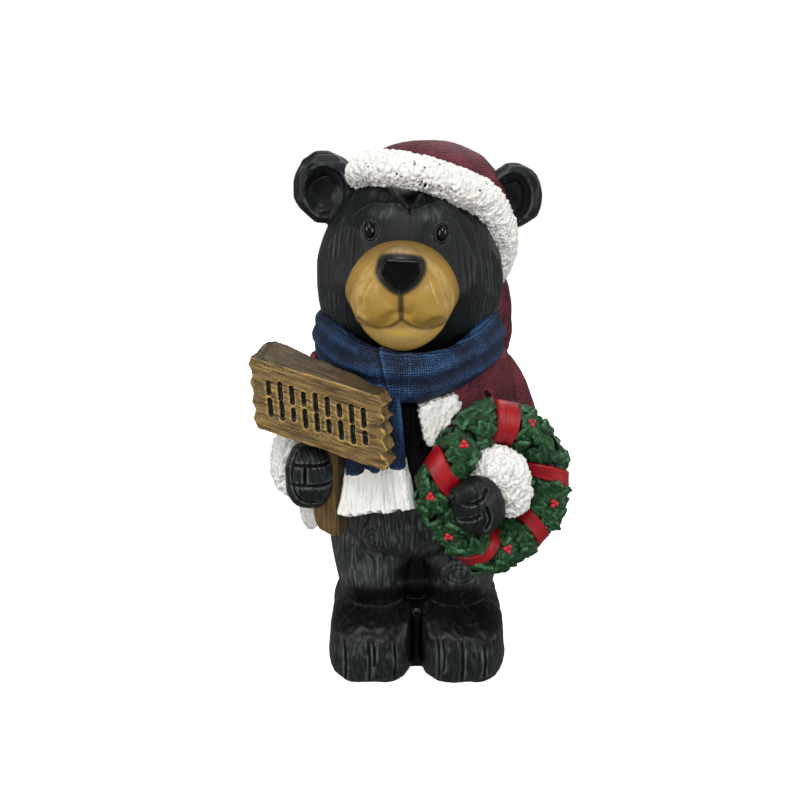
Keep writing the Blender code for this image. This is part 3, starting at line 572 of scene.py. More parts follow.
def grain_marks(clay, across, pitch, seed, deep=0.5, half_wide=1.3, strength=1.0, rings=None):
    """Carves long grooves where the across field crosses its pitch, and returns the marks that paint them.
    rings, where given, says how far out in a knot each point lies, and the knot's edge is at 1."""
    wobble = 0.45 * noise_at(clay.points, (26, 26, 60), seed)
    wobble = wobble + 0.12 * noise_at(clay.points, (7, 7, 16), seed + 1)
    phase = across / pitch + wobble
    line, level = np.round(phase), clay.points[:, 2]
    shown = step(-0.12, 0.12, noise_at(np.column_stack([31 * line, 0 * line, level]), (40, 40, 42), seed + 2))
    shown = shown * strength
    gap = np.abs(phase - line) * pitch
    if rings is not None:
        within = rings < 1.02
        phase = np.where(within, KNOT_RINGS * rings + 0.3 * wobble, phase)
        shown = np.where(within, 1, shown)
        gap = np.where(within, np.abs(phase - np.round(phase)) * pitch, gap)
    clay.push(-deep * shown * np.clip(1 - (gap / half_wide) ** 2, 0, 1))
    return {"phase": phase, "shown": shown}


def body(paint):
    """The belly, legs and feet, with toes, grain and two knots."""
    clay = Clay("body", torso() + legs(), BODY_GRAIN)
    clay.points[:, 2] = np.maximum(clay.points[:, 2], 0)
    toes = [smooth_path(((x, low), (x + 0.8, (low + high) / 2), (x - 0.5, high)), 6) for x, low, high in TOES]
    groove = clay.carve([clay.seen_from_front(toe) for toe in toes], *TOE_GROOVE)
    hammered = 1.1 * noise_at(clay.points, 13, 5) + 0.6 * noise_at(clay.points, (5, 5, 8), 6)
    clay.push(hammered * step(FEET_TOP, FEET_TOP - 10, clay.points[:, 2]))
    x, y, z = clay.points.T
    y += np.maximum(0, CHEST_FRONT - y) * step(CHEST_LOW, CHEST_HIGH, z)
    front = step(0, 20, -y)
    trench = step(TRENCH_HALF_WIDE, TRENCH_HALF_WIDE - 6, np.abs(x - TRENCH_X))
    trench *= step(TRENCH_TOP, TRENCH_TOP - 10, z)
    pocket = step(1.25, 0.6, np.hypot((x - POCKET[0]) / POCKET_SIZE[0], (z - POCKET[1]) / POCKET_SIZE[1]))
    ankle = step(66, 52, np.abs(x)) * step(62, 70, z) * step(88, 76, z)
    instep = step(36, 48, z + 0.25 * np.abs(np.abs(x) - 42)) * step(FEET_TOP, FEET_TOP - 6, z)
    shade = front * np.maximum(np.maximum(trench, pocket), np.maximum(ankle, 0.7 * instep))
    shade = np.maximum(shade, step(168, 184, z))
    around = GRAIN_ROUND * np.arctan2(x, -y)
    across, rings = around.copy(), np.full(len(x), 9.0)
    for knot_x, knot_z, wide, tall in KNOTS:
        out = np.where(front > 0.5, np.hypot((x - knot_x) / wide, (z - knot_z) / tall), 9)
        across -= (around - GRAIN_ROUND * math.atan2(knot_x, KNOT_FRONT)) / np.maximum(out, 1) ** 2
        rings = np.minimum(rings, out)
    strength = 0.7 + 0.3 * np.maximum(step(34, 56, np.abs(around)), step(2.2, 1.4, rings))
    strength *= 1 - 0.7 * step(64, 56, z)
    marks = grain_marks(clay, across, GRAIN_PITCH, 3, strength=strength, rings=rings)
    flow = layers(around, z)
    clay.points[:, 2] = np.maximum(clay.points[:, 2], 0)
    sides = step(24, 60, np.abs(around))
    toe = step(50, 44, z) * (0.35 + 0.65 * step(22, 34, z))
    # Dry-brush grey and painted highlight: broad lighter paint over the belly and thighs, and a lighter band
    # along the tops of the toes.
    brushed = np.maximum((1.2 + 0.4 * sides) * step(66, 84, z), (0.62 + 0.2 * sides) * toe)
    marks.update(flow=flow, groove=groove, shade=shade, brushed=brushed)
    return clay.piece(paint, "black_fur", **marks)


def head_taper(points):
    """The head's points drawn in towards its top, so that the cheeks are its widest part."""
    share = np.clip(points[:, 2] / HEAD_UP, 0, 1)
    points[:, 0] *= 1 - HEAD_NARROWING * share
    return points


def carved_head(points):
    """The head's points tapered and cut by a knife's facets."""
    return whittle(head_taper(points), (0, 0, 0), (HEAD_WIDE, HEAD_FRONT, HEAD_UP), 70, 2.4, 5)


def dished(points, size, dish):
    """An ear's points whittled, with its front hollowed out inside a thick rim."""
    points = whittle(points, (0, 0, 0), size, 26, 1.1, 8)
    (across, up), (wide, tall) = dish
    out = np.hypot((points[:, 0] - across) / wide, (points[:, 2] - up) / tall)
    hollow = EAR_DISH * np.clip(1 - out**2, 0, 1) ** 0.8
    points[:, 1] += np.where(points[:, 1] < 0, hollow, 0)
    return points


def oval(centre, size, tilt, count=28):
    """An (x, z) oval turned by a tilt."""
    turns = 2 * math.pi * np.arange(count + 1) / count
    across, up = size[0] * np.cos(turns), size[1] * np.sin(turns)
    return np.column_stack([centre[0] + across * math.cos(tilt) + up * math.sin(tilt),
                            centre[1] - across * math.sin(tilt) + up * math.cos(tilt)])


def head_turn():
    """The rotation of the head."""
    return spin(HEAD_TIP, "Y") @ spin(HEAD_TURN, "Z")


def head(paint):
    """The head and ears, with the brow's ledge, eye sockets and long grain."""
    turn, low = head_turn(), (HEAD_WIDE, HEAD_FRONT, HEAD_DOWN)
    pieces = [blob(HEAD, (HEAD_WIDE, HEAD_BACK, HEAD_UP), HEAD_SQUARENESS, low, turn, carved_head, cuts=44)]
    for (centre, size), dish in zip(EARS, EAR_DISHES):
        pieces.append(blob(centre, size, 2.5, turn=turn, cuts=36,
                           shape=lambda p, ear=(size, dish): dished(p, *ear)))
    clay = Clay("head", pieces, HEAD_GRAIN)
    x, y, z = clay.points.T
    ledge = np.interp(x, *smooth_path(BROW_LINE, 5).T)
    ledge += 2 * noise_at(clay.points, 7, 13)
    above = step(10, 40, -y) * step(-66, -50, x) * step(-56, -38, -x) * step(-1.6, 1.6, z - ledge)
    levels, left, right = np.transpose(BROW_POCKET)
    pocket = step(-3, 3, x - np.interp(z, levels, left)) * step(-3, 3, np.interp(z, levels, right) - x)
    pocket *= step(414, 421, z) * step(10, 40, -y)
    clay.push(-BROW_LEDGE * above - 1.5 * pocket)
    shade = np.maximum(0.15 * above, pocket)
    groove = 0.8 * clay.carve([clay.seen_from_front(BROW_CREASE)], *CREASE_GROOVE)
    lids = []
    for (eye_x, _, eye_z), tilt in zip(EYES, EYE_TILT):
        lids.append(clay.seen_from_front(oval((eye_x, eye_z), LID_SIZE, tilt)))
        groove = np.maximum(groove, clay.carve(lids[-1:], *LID_GROOVE))
    eyelids(paint, lids)
    x, y, z = clay.points.T
    for (centre, _), (middle, reach) in zip(EARS, EAR_DISHES):
        out = np.hypot((x - centre[0] - middle[0]) / reach[0], (z - centre[2] - middle[1]) / reach[1])
        in_dish = step(1.0, 0.6, out) * step(20, 0, y)
        shade = np.maximum(shade, 0.25 * in_dish)
        clay.push(0.9 * in_dish * noise_at(clay.points, (6, 6, 9), 14))
    across = HEAD_GRAIN_ROUND * np.arctan2(x - HEAD[0], -(y - HEAD[1]))
    side = 0.15 + 0.85 * step(38, 60, np.abs(x - HEAD[0]))
    marks = grain_marks(clay, across, HEAD_GRAIN_PITCH, 11, deep=0.55, half_wide=1.2, strength=side)
    # Dry-brush grey and painted highlight on the outer sides of the head and on the brow lobes.
    brushed = 0.35 * step(46, 66, np.abs(x - HEAD[0])) * step(408, 388, z)
    for lobe_x, lobe_z, wide, tall in BROW_LOBES:
        out = np.hypot((x - lobe_x) / wide, (z - lobe_z) / tall)
        brushed = np.maximum(brushed, 1.2 * step(1.3, 0.3, out) * step(0, 30, -y))
    marks.update(flow=layers(across, z), groove=groove, shade=shade, brushed=brushed)
    return clay.piece(paint, "black_fur", **marks)


def eyelids(paint, lines):
    """A thin raised lid round each eye, on its line over the face."""
    pieces = []
    for line in lines:
        loop = smooth_path(line[:-1], 3, closed=True)
        middle = loop.mean(axis=0)
        outward = [unit((x, 0, z)) for x, _, z in loop - middle]
        forward, thick, tall = (0, -1.0, 0), LID_THICK, 1.2 * LID_THICK
        count = len(loop)
        pieces.append(band(loop, outward, [np.array(forward)] * count, [thick] * count, [tall] * count, 10))
    points, faces = joined(pieces)
    plain = np.zeros(len(points))
    marks = dict.fromkeys(("groove", "phase", "shown", "broad", "brushed", "shade"), plain)
    marks.update(flow=np.array(points), fine=plain + 0.12)
    painted("eyelids", raw_mesh("eyelids", points, faces), paint, "black_fur", **marks)


def eyes(paint):
    """Two glossy domes inside raised lids."""
    pieces = [blob(eye, EYE_SIZE, turn=spin(tilt, "Y"), cuts=14) for eye, tilt in zip(EYES, EYE_TILT)]
    return painted("eyes", raw_mesh("eyes", *joined(pieces)), paint)


def nose(paint):
    """A flat glossy nose with a bevelled edge."""
    outline = smooth_path(NOSE_OUTLINE, 6, closed=True)
    middle = np.array(NOSE)
    points = []
    for share, deep in NOSE_RINGS:
        points += [middle + (x * share, deep + NOSE_LEAN * z, z * share) for x, z in outline]
    points, faces = np.array(points), ring_faces(len(NOSE_RINGS), len(outline), closed=False)
    return painted("nose", raw_mesh("nose", points, faces), paint)


def muzzle(paint):
    """The tan muzzle and jaw, with the mouth, soot round the nose, a pale ring inside its edge and painted
    light on ridges and jaw.
    """
    turn = head_turn()
    pieces = [blob(MUZZLE, MUZZLE_SIZE, 2.3, (*MUZZLE_SIZE[:2], MUZZLE_DOWN), turn, muzzle_taper, cuts=24),
              blob(JAW, JAW_SIZE, JAW_SQUARENESS, (*JAW_SIZE[:2], JAW_DOWN), turn, cuts=24)]
    x, y, z = CHEEKS
    for side in (-1, 1):
        pieces.append(blob((x + side * CHEEK_APART, y, z), CHEEK_SIZE, 2.3, turn=turn, cuts=30,
                           shape=lambda p, seed=side + 20: whittle(p, (0, 0, 0), CHEEK_SIZE, 12, 0.8, seed)))
    pieces.append(blob(NOSE_BED, NOSE_BED_SIZE, 2.3, turn=turn, cuts=24))
    clay = Clay("muzzle", pieces, FINE_GRAIN, 3)
    mouth = clay.seen_from_front(smooth_path(MOUTH, 4))
    philtrum = clay.seen_from_front(((NOSE[0], PHILTRUM_HIGH), (NOSE[0] + 0.5, PHILTRUM_LOW)))
    groove = clay.carve([mouth], *MOUTH_GROOVE)
    groove = np.maximum(groove, clay.carve([philtrum], *PHILTRUM_GROOVE))
    ridges = [clay.seen_from_front(smooth_path(ridge, 4)) for ridge in MUZZLE_RIDGES]
    raised = clay.carve(ridges, *MUZZLE_RIDGE)
    x, y, z = clay.points.T
    nose_edge = smooth_path(NOSE_OUTLINE, 4, closed=True)
    turns = np.unwrap(np.arctan2(nose_edge[:, 1], nose_edge[:, 0]))
    reach = np.interp(np.arctan2(z - NOSE[2], x - NOSE[0]), *map_of_turns(turns, nose_edge))
    soot = 1 - step(SOOT_REACH - 2, SOOT_REACH + 2, np.hypot(x - NOSE[0], z - NOSE[2]) - reach)
    soot = np.maximum(soot, 1 - step(0.9, 3.0, clay.gap_to(philtrum, 6)))
    soot = np.maximum(soot, 0.75 * (1 - step(0, 4, clay.gap_to(mouth, 4))))
    soot = np.maximum(soot, 0.4 * step(364, 388, z))
    edge = muzzle_edge(x, z)
    rust = step(3.0, 0.5, clear_of_head(clay.points)) * step(335, 350, z)
    # The pale mark is a real pale ring inside the tan's edge and a painted highlight along the raised ridges.
    pale = np.maximum(step(0.7, 0.8, edge) * (1 - step(0.9, 0.97, edge)), 1.4 * step(0.5, 0.9, raised))
    # Painted light: the lowest part of the jaw is marked to be lightened.
    marks = {"soot": soot, "rust": rust, "pale": pale, "painted_chin_light": step(327, 319, z)}
    return clay.piece(paint, "tan_muzzle", groove=groove, **marks)


def map_of_turns(turns, edge):
    """Turns from -pi to pi in rising order, and how far out the edge lies at each."""
    turns = (turns + math.pi) % (2 * math.pi) - math.pi
    order = np.argsort(turns)
    return turns[order], np.linalg.norm(edge, axis=1)[order]


def muzzle_taper(points):
    """The muzzle's points drawn in and back towards the bridge of the nose."""
    share = np.clip(points[:, 2] / MUZZLE_SIZE[2], 0, 1)
    points[:, 0] *= 1 - 0.18 * share
    return points


def clear_of_head(points):
    """How far points stand out from the head's rounded form."""
    local = (points - HEAD) @ head_turn()
    halves = np.where(local < 0, (HEAD_WIDE, HEAD_FRONT, HEAD_DOWN), (HEAD_WIDE, HEAD_BACK, HEAD_UP))
    local[:, 0] /= 1 - HEAD_NARROWING * np.clip(local[:, 2] / HEAD_UP, 0, 1)
    out = (np.abs(local / halves) ** HEAD_SQUARENESS).sum(axis=1) ** (1 / HEAD_SQUARENESS)
    return (out - 1) * HEAD_FRONT


def muzzle_edge(x, z):
    """How near a point is to the outline of the tan, from 0 in the middle to 1 at the edge."""
    across, up = TAN_MIDDLE
    return np.hypot((x - across) / np.interp(z, TAN_HEIGHTS, TAN_WIDTHS), (z - up) / TAN_HALF_TALL)


def stucco(clay, size, deep, seed, flow=(0.35, 0.1, 0.9)):
    """Raises short ridges of fur like paste put on with a stiff brush, longer along the flow direction."""
    points = clay.points - 0.5 * (clay.points @ unit(flow))[:, None] * unit(flow)
    warped = points + 0.5 * size * np.column_stack([noise_at(points, 1.7 * size, seed + k) for k in range(3)])
    lumps = noise_at(warped, size, seed + 3)
    flecks = noise_at(warped, 0.5 * size, seed + 4)
    cuts = np.clip(1 - np.abs(noise_at(warped, 0.8 * size, seed + 6)) / 0.12, 0, 1)
    swell = noise_at(clay.points, 3.5 * size, seed + 5)
    clay.push(deep * (0.8 * lumps + 0.7 * flecks - 0.2 * cuts + 0.6 * swell))


def fur(paint, clay, size, seed):
    """A piece of fur without punctures."""
    stucco(clay, size, FUR_DEEP, seed)
    return clay.piece(paint, "white_fur", pit=np.zeros(len(clay.points)))


def brim(paint):
    """The hat's rolled fur brim, with small punctures along its lower edge."""
    path = smooth_path(BRIM, 8, closed=True)
    centres, size = path[:, :3], path[:, 3]
    ahead = [unit(b - a) for a, b in zip(np.roll(centres, 1, axis=0), np.roll(centres, -1, axis=0))]
    outward = np.array([unit(np.cross(np.cross(along, centre - HEAD), along))
                        for along, centre in zip(ahead, centres)])
    upward = np.array([np.cross(along, out) for along, out in zip(ahead, outward)])
    clay = Clay("hat_brim", [band(centres, outward, upward, size, size)], FUR_GRAIN)
    stucco(clay, BRIM_FUR_SIZE, BRIM_FUR_DEEP, 21)
    rng = np.random.default_rng(4)
    pit = np.zeros(len(clay.points))
    for _ in range(PIT_COUNT):
        low_edge = rng.random() < PIT_LOW_SHARE
        i = rng.integers(13, 27) if low_edge else rng.integers(6, 40)
        around = math.radians(rng.normal(-99, 9) if low_edge else rng.uniform(-100, -10))
        up = upward[i] if upward[i][2] > 0 else -upward[i]
        place = centres[i] + size[i] * (math.cos(around) * outward[i] + math.sin(around) * up)
        gap = np.linalg.norm(clay.points - place, axis=1)
        pit = np.maximum(pit, np.clip(1.6 - gap / PIT_REACH, 0, 1))
    clay.push(-PIT_DEEP * pit)
    return clay.piece(paint, "white_fur", pit=pit)


def above_brim(points):
    """The crown's points, with those under the brim's plane moved up to it."""
    stations = np.array(BRIM)[:, :3]
    middle = stations.mean(axis=0)
    upright = np.linalg.svd(stations - middle)[2][2]
    upright = upright * np.sign(upright[2])
    under = np.minimum((points + CROWN - middle) @ upright, 0)
    return points - under[:, None] * upright


def crown(paint):
    """The hat's crown and its tail, in soft folds."""
    low = (CROWN_LEFT, *CROWN_SIZE[1:])
    pieces = [blob(CROWN, CROWN_SIZE, 2.3, low=low, shape=above_brim, cuts=30), limb(HAT_TAIL)]
    clay = Clay("hat", pieces, CLOTH_GRAIN, 3)
    clay.push(1.3 * noise_at(clay.points, (34, 40, 13), 31) + 0.3 * noise_at(clay.points, 5, 32))
    x, y, z = clay.points.T
    return clay.piece(paint, "red_cloth", weave=layers(round_middle(x, y, CROWN, CROWN_ROUND), z))


def pompom(paint):
    """The fur ball at the end of the hat's tail."""
    return fur(paint, Clay("hat_pompom", [blob(POMPOM, (POMPOM_SIZE,) * 3)], FUR_GRAIN), POMPOM_FUR_SIZE, 41)


def scarf(paint):
    """The scarf wound round the neck, lapped at the front, with shallow folds along it."""
    centres, outward, tall = [], [], []
    for turn in circle(SCARF_PARTS):
        across, along = math.cos(turn), math.sin(turn)
        depth, front = SCARF_BACK if along > 0 else SCARF_FRONT, max(0, -along)
        x, y = SCARF
        centres.append((x + SCARF_WIDE * across, y + depth * along, SCARF_Z - SCARF_DIP * front**2))
        outward.append(unit((across, along, 0)))
        tall.append(SCARF_HALF_TALL * (1 - SCARF_NARROWING * front**2))
    thick, upward = [SCARF_HALF_THICK] * SCARF_PARTS, [np.array(UPRIGHT)] * SCARF_PARTS
    clay = Clay("scarf", [band(np.array(centres), outward, upward, thick, tall)], SCARF_GRAIN, 3)
    x, y, z = clay.points.T
    turn = np.arctan2(y - SCARF[1], x - SCARF[0])
    level = z - SCARF_Z + SCARF_DIP * np.maximum(0, -np.sin(turn)) ** 2
    lap = step(-2, 1.5, x + 27 + 0.25 * (z - 285)) * step(40, 0, x) * step(20, 40, -y)
    fold = np.sin(level * 0.38 + 1.6 * np.sin(2 * turn) + 2 * noise_at(clay.points, 60, 51))
    lumps = 0.7 * noise_at(clay.points, 12, 53), 0.35 * noise_at(clay.points, 6, 52)
    clay.push(SCARF_LAP * lap + SCARF_FOLD * fold + lumps[0] + lumps[1])
    return clay.piece(paint, "blue_cloth", weave=layers(round_middle(x, y, SCARF, SCARF_ROUND), level))


def scarf_end(paint):
    """The scarf's end down the chest."""
    form = slab(SCARF_END, SCARF_END_FRONT, SCARF_END_FRONT + SCARF_END_THICK)
    clay = Clay("scarf_end", [form], SCARF_END_GRAIN, 4)
    clay.push(0.9 * np.sin(clay.points[:, 0] * 0.33 + noise_at(clay.points, 40, 61)))
    return clay.piece(paint, "blue_cloth", weave=clay.points[:, (0, 2, 1)])


def fringe(paint):
    """The off-white fringe: strands that spread from a straight hem."""
    rng = random.Random(3)
    _, _, (right, right_low), (left, left_low) = SCARF_END
    pieces = []
    for i in range(FRINGE_STRANDS):
        share = (i + 0.5) / FRINGE_STRANDS
        upper = left + 2 + share * (right - left - 4)
        lower = FRINGE_EDGES[0] + 2.5 + share * (FRINGE_EDGES[1] - FRINGE_EDGES[0] - 5)
        bottom = left_low + share * (right_low - left_low)
        drop = FRINGE_LONG + rng.uniform(-2.5, 2)
        deep = SCARF_END_FRONT + 8 + rng.uniform(-1, 1)
        front = FRINGE_FRONT + 8 + rng.uniform(-1, 1)
        between = 0.5 * (upper + lower) + rng.uniform(-1.5, 1.5)
        stations = ((upper, deep, bottom + 6, 2.5), (between, (deep + front) / 2, bottom - 0.45 * drop, 2.9),
                    (lower, front, bottom - drop, 3.1))
        pieces.append(limb(stations, 5, 14, 2.6))
    clay = Clay("scarf_fringe", pieces, FINE_GRAIN, 1)
    x, y, z = clay.points.T
    strands = noise_at(np.column_stack([x - (z - 200) * (x + 32) * 0.0025, y, z]), (1.7, 4, 26), 71)
    clay.push(0.7 * strands)
    return clay.piece(paint, "white_fur", pit=np.zeros(len(x)))


def coat_depth(x, z):
    """How far the coat's surface stands in front of the middle at this x and height."""
    heights = [ring[0] for ring in reversed(COAT)]
    wide = np.interp(z, heights, [ring[1] for ring in reversed(COAT)])
    front = np.interp(z, heights, [ring[2] for ring in reversed(COAT)])
    return front * math.sqrt(max(0.05, 1 - (x / wide) ** 2))


def coat_ring(z, wide, front, back, turns):
    """The points of one ring of the coat."""
    return [(wide * math.cos(t), (back if math.sin(t) > 0 else front) * math.sin(t), z) for t in turns]


def opened(shape):
    """A closed shape with the coat's front opening cut out of it."""
    whole = linked("whole", raw_mesh("whole", *shape))
    cutter = linked("opening", raw_mesh("opening", *slab(COAT_OPENING, OPENING_FRONT, OPENING_BACK)))
    modifier = whole.modifiers.new("opening", "BOOLEAN")
    modifier.operation = "DIFFERENCE"
    modifier.solver = "EXACT"
    modifier.object = cutter
    cut = evaluated(whole)
    points = np.array([v.co for v in cut.vertices]) / MM
    faces = [list(p.vertices) for p in cut.polygons]
    for used in (whole, cutter):
        bpy.data.objects.remove(used)
    return points, faces


def coat(paint):
    """The coat over the torso, open at the front, with its sleeves."""
    points = [place for ring in COAT for place in coat_ring(*ring, circle(COAT_SIDES))]
    whole = points, ring_faces(len(COAT), COAT_SIDES, closed=False)
    clay = Clay("coat", [opened(whole), *map(limb, SLEEVES)], COAT_GRAIN, 4)
    x, y, z = clay.points.T
    clay.push(1.4 * noise_at(clay.points, (16, 16, 70), 81) + 0.3 * noise_at(clay.points, 6, 82))
    clay.carve([clay.seen_from_front(COLLAR_PIT)], *COLLAR_PIT_SIZE)
    return clay.piece(paint, "red_cloth", weave=layers(round_middle(x, y, (0, 0), COAT_ROUND), z))


def lapel(edge, outer):
    """A strip of fur down one edge of the coat's opening."""
    points = []
    for x, z in edge:
        for share, lift in LAPEL_PROFILE:
            at = max(-LAPEL_LIMIT, min(LAPEL_LIMIT, x + outer * (LAPEL_WIDE * share)))
            points.append((at, -coat_depth(at, z) - lift, z))
        points.append((x + outer * LAPEL_WIDE * LAPEL_CORE, -coat_depth(x, z) + LAPEL_SINK, z))
    return points, ring_faces(len(edge), len(LAPEL_PROFILE) + 1, closed=False)


def collar():
    """The turned-back end of the fur at the top of the coat's right edge."""
    surface = [(x, -coat_depth(x, z), z) for x, z in COLLAR]
    return prism(*[[(x, y + lift, z) for x, y, z in surface] for lift in (-COLLAR_LIFT, COLLAR_LIFT)])


def coat_trim(paint):
    """The fur along the coat's opening and its hem."""
    turns = circle(HEM_PARTS, 0.5)
    outward = [unit((math.cos(t), math.sin(t), 0)) for t in turns]
    size = [1 + HEM_SWELL * math.sin(HEM_SWELLS * t) for t in turns]
    hem = band(np.array(coat_ring(HEM_Z, *COAT[-1][1:], turns)), outward, [np.array(UPRIGHT)] * HEM_PARTS,
               [HEM_HALF_THICK * s for s in size], [HEM_HALF_TALL * s for s in size])
    pieces = [opened(hem), collar(), lapel(RIGHT_EDGE, 1), lapel(LEFT_EDGE, -1)]
    return fur(paint, Clay("coat_trim", pieces, TRIM_GRAIN, 2), FUR_SIZE, 91)


def cuffs(paint):
    """The two fur cuffs."""
    for side, (centre, size, axis) in zip(("left", "right"), CUFFS):
        form = blob(centre, size, 2.6, turn=turned_to(axis), cuts=24)
        fur(paint, Clay(f"cuff_{side}", [form], FUR_GRAIN), FUR_SIZE, 101)


def paws(paint):
    """The two black paws, with their fingers cut in."""
    for side, (centre, size, axis), lines in zip(("left", "right"), PAWS, PAW_LINES):
        pieces = [blob(centre, size, 2.5, turn=turned_to(axis), cuts=24)]
        if side == "right":
            pieces.append(blob(THUMB, THUMB_SIZE, turn=spin(THUMB_TURN, "Y")))
        clay = Clay(f"paw_{side}", pieces, FINE_GRAIN, 3)
        grooves = [clay.seen_from_front(smooth_path(line, 4) if len(line) > 2 else line) for line in lines]
        groove = clay.carve([g for g in grooves if len(g) > 1], *PAW_GROOVE)
        clay.push(0.9 * noise_at(clay.points, 9, 112))
        x, y, z = clay.points.T
        across = x + 0.5 * y
        marks = grain_marks(clay, across, PAW_GRAIN_PITCH, 111, deep=0.3, half_wide=1.1)
        # A little dry-brush grey and painted highlight all over each paw.
        marks.update(flow=layers(across, z), groove=groove, shade=0 * x, brushed=0.1 + 0 * x)
        clay.piece(paint, "black_fur", **marks)


def sign_axes():
    """The board's axes as columns: along it, into it and up it."""
    along = unit(np.subtract(SIGN_RIGHT, SIGN_LEFT))
    return np.column_stack([along, unit(np.cross((0, 0, 1), along)), unit(SIGN_UP)])


def sign_place(across, up, into=0.0):
    """A point of the board: across from -1 to 1, up from -1 to 1, and its depth behind the front face."""
    half_tall = np.interp(across, (-1, 1), SIGN_TALL) / 2
    return SIGN_MIDDLE + sign_axes() @ np.array((across * SIGN_HALF_LONG, into, up * half_tall))


def board_shape():
    """The board as a prism with sawn ends and a hump along its back top edge."""
    ends = []
    for end, teeth, tooth in zip((-1, 1), SIGN_TEETH, SIGN_TOOTH):
        ups = np.linspace(-1, 1, 2 * teeth + 1)
        outs = [1 + (tooth / SIGN_HALF_LONG if i % 2 else 0) for i in range(len(ups))]
        ends.append([(end * out, up, 0) for out, up in zip(outs, ups)])
    top = [(across, 1, rise) for across, rise in SIGN_RISE]
    edge = ends[1][:-1] + top + ends[0][-2::-1]
    points = [sign_place(across, up) for across, up, _ in edge]
    upright = sign_axes()[:, 2]
    behind = [sign_place(across, up, np.interp(across, (-1, 1), SIGN_THICK)) + rise * upright
              for across, up, rise in edge]
    return prism(points, behind)


def strokes():
    """The sign's rows of short strokes, as pairs of points on the board."""
    lines = []
    half_tall = sum(SIGN_TALL) / 4
    for row in range(STROKE_ROWS):
        for i in range(STROKES_PER_ROW):
            across = STROKE_REACH * (2 * (i + 0.5) / STROKES_PER_ROW - 1)
            up = (0.5 - row) * (STROKE_TALL + STROKE_GAP) / half_tall
            long = STROKE_TALL / half_tall / 2 * (1 if (i + row) % 3 else SHORT_STROKE)
            lines.append((sign_place(across, up - long), sign_place(across, up + long)))
    return lines


def board(paint):
    """The golden-brown board, with grain along it, chipped ends, the rows of strokes and painted shade on its
    upward faces.
    """
    clay = Clay("sign_board", [board_shape()], FINE_GRAIN, 2)
    local = np.linalg.solve(sign_axes(), (clay.points - SIGN_MIDDLE).T).T
    along, into, up = local.T
    clay.push(0.8 * noise_at(local, (9, 9, 5), 121))
    bent = up + 2.5 * noise_at(local, (40, 30, 14), 122)
    ridges = noise_at(np.column_stack([along, 0.6 * into, bent]), (32, 5, 2.6), 123)
    cracks = np.clip(1 - np.abs(noise_at(local, (60, 9, 5.5), 124)) / 0.07, 0, 1)
    end = step(50, 54, np.abs(along))
    clay.push((1 - end) * (0.45 * ridges - 0.7 * cracks) + end * 0.9 * noise_at(local, (4, 4, 4), 125))
    groove = clay.carve([np.array(line) for line in strokes()], STROKE_WIDE, STROKE_DEEP)
    # Painted shade: the board's upward faces are marked to be darkened.
    top = step(0.45, 0.8, clay.normals() @ sign_axes()[:, 2])
    return clay.piece(paint, "sign_wood", flow=local, stroke=groove, top=top, end=end)


def post(paint):
    """The post with its chamfered foot, grain down its length and painted shade on its right side."""
    form = slab(POST, POST_FRONT, POST_FRONT + POST_THICK)
    clay = Clay("sign_post", [form], FINE_GRAIN, 3)
    x, y, z = clay.points.T
    y += 0.9 * np.maximum(0, x - POST_EDGE) * step(0, -8, y - POST_FRONT - 10)
    clay.push(0.6 * noise_at(clay.points, (2.6, 4, 40), 131))
    flow = np.column_stack([z, y, x])
    zeros = np.zeros(len(x))
    # Painted shade on the post's right side face, and half as much darkening over the rest for its darker
    # tone.
    top = np.maximum(0.5 + zeros, 1.1 * step(-72, -66, x))
    return clay.piece(paint, "sign_wood", flow=flow, stroke=zeros, top=top, end=zeros)


def ring_centre(turn):
    """The middle of the wreath's tube: an ellipse drawn in between its ends, most on the left."""
    drawn_in = 1 - WREATH_DRAWN_IN * np.sin(2 * turn) ** 2 * (1 - 0.7 * np.cos(turn))
    across, up = WREATH_WIDE * np.cos(turn) * drawn_in, WREATH_TALL * np.sin(turn) * drawn_in
    return np.stack([across, 0 * turn, up], axis=-1)


def on_wreath(round_turn, tube_turn, lift=0.0):
    """A point on the wreath's ring, its outward normal, and the ring's direction there."""
    swing = spin(WREATH_TURN, "Z")
    radial = np.array((math.cos(round_turn), 0, math.sin(round_turn)))
    centre = ring_centre(np.float64(round_turn))
    normal = math.cos(tube_turn) * np.array((0, -1.0, 0)) + math.sin(tube_turn) * radial
    along = np.array((-math.sin(round_turn), 0, math.cos(round_turn)))
    return swing @ (centre + normal * (WREATH_TUBE + lift)) + WREATH, swing @ normal, swing @ along


def wreath_base(paint):
    """The wreath's ring under its leaves."""
    points = [on_wreath(turn, around)[0] for turn in circle(WREATH_RINGS) for around in circle(WREATH_SIDES)]
    ring = points, ring_faces(WREATH_RINGS, WREATH_SIDES, closed=True)
    clay = Clay("wreath_base", [ring], WREATH_GRAIN, 1)
    clay.push(1.3 * noise_at(clay.points, 6, 141) - 1)
    zeros = np.zeros(len(clay.points))
    # Painted shade: a rise of -1 darkens the whole ring under the leaves.
    return clay.piece(paint, "holly_leaf", edge=zeros, tint=zeros, rise=zeros - 1)


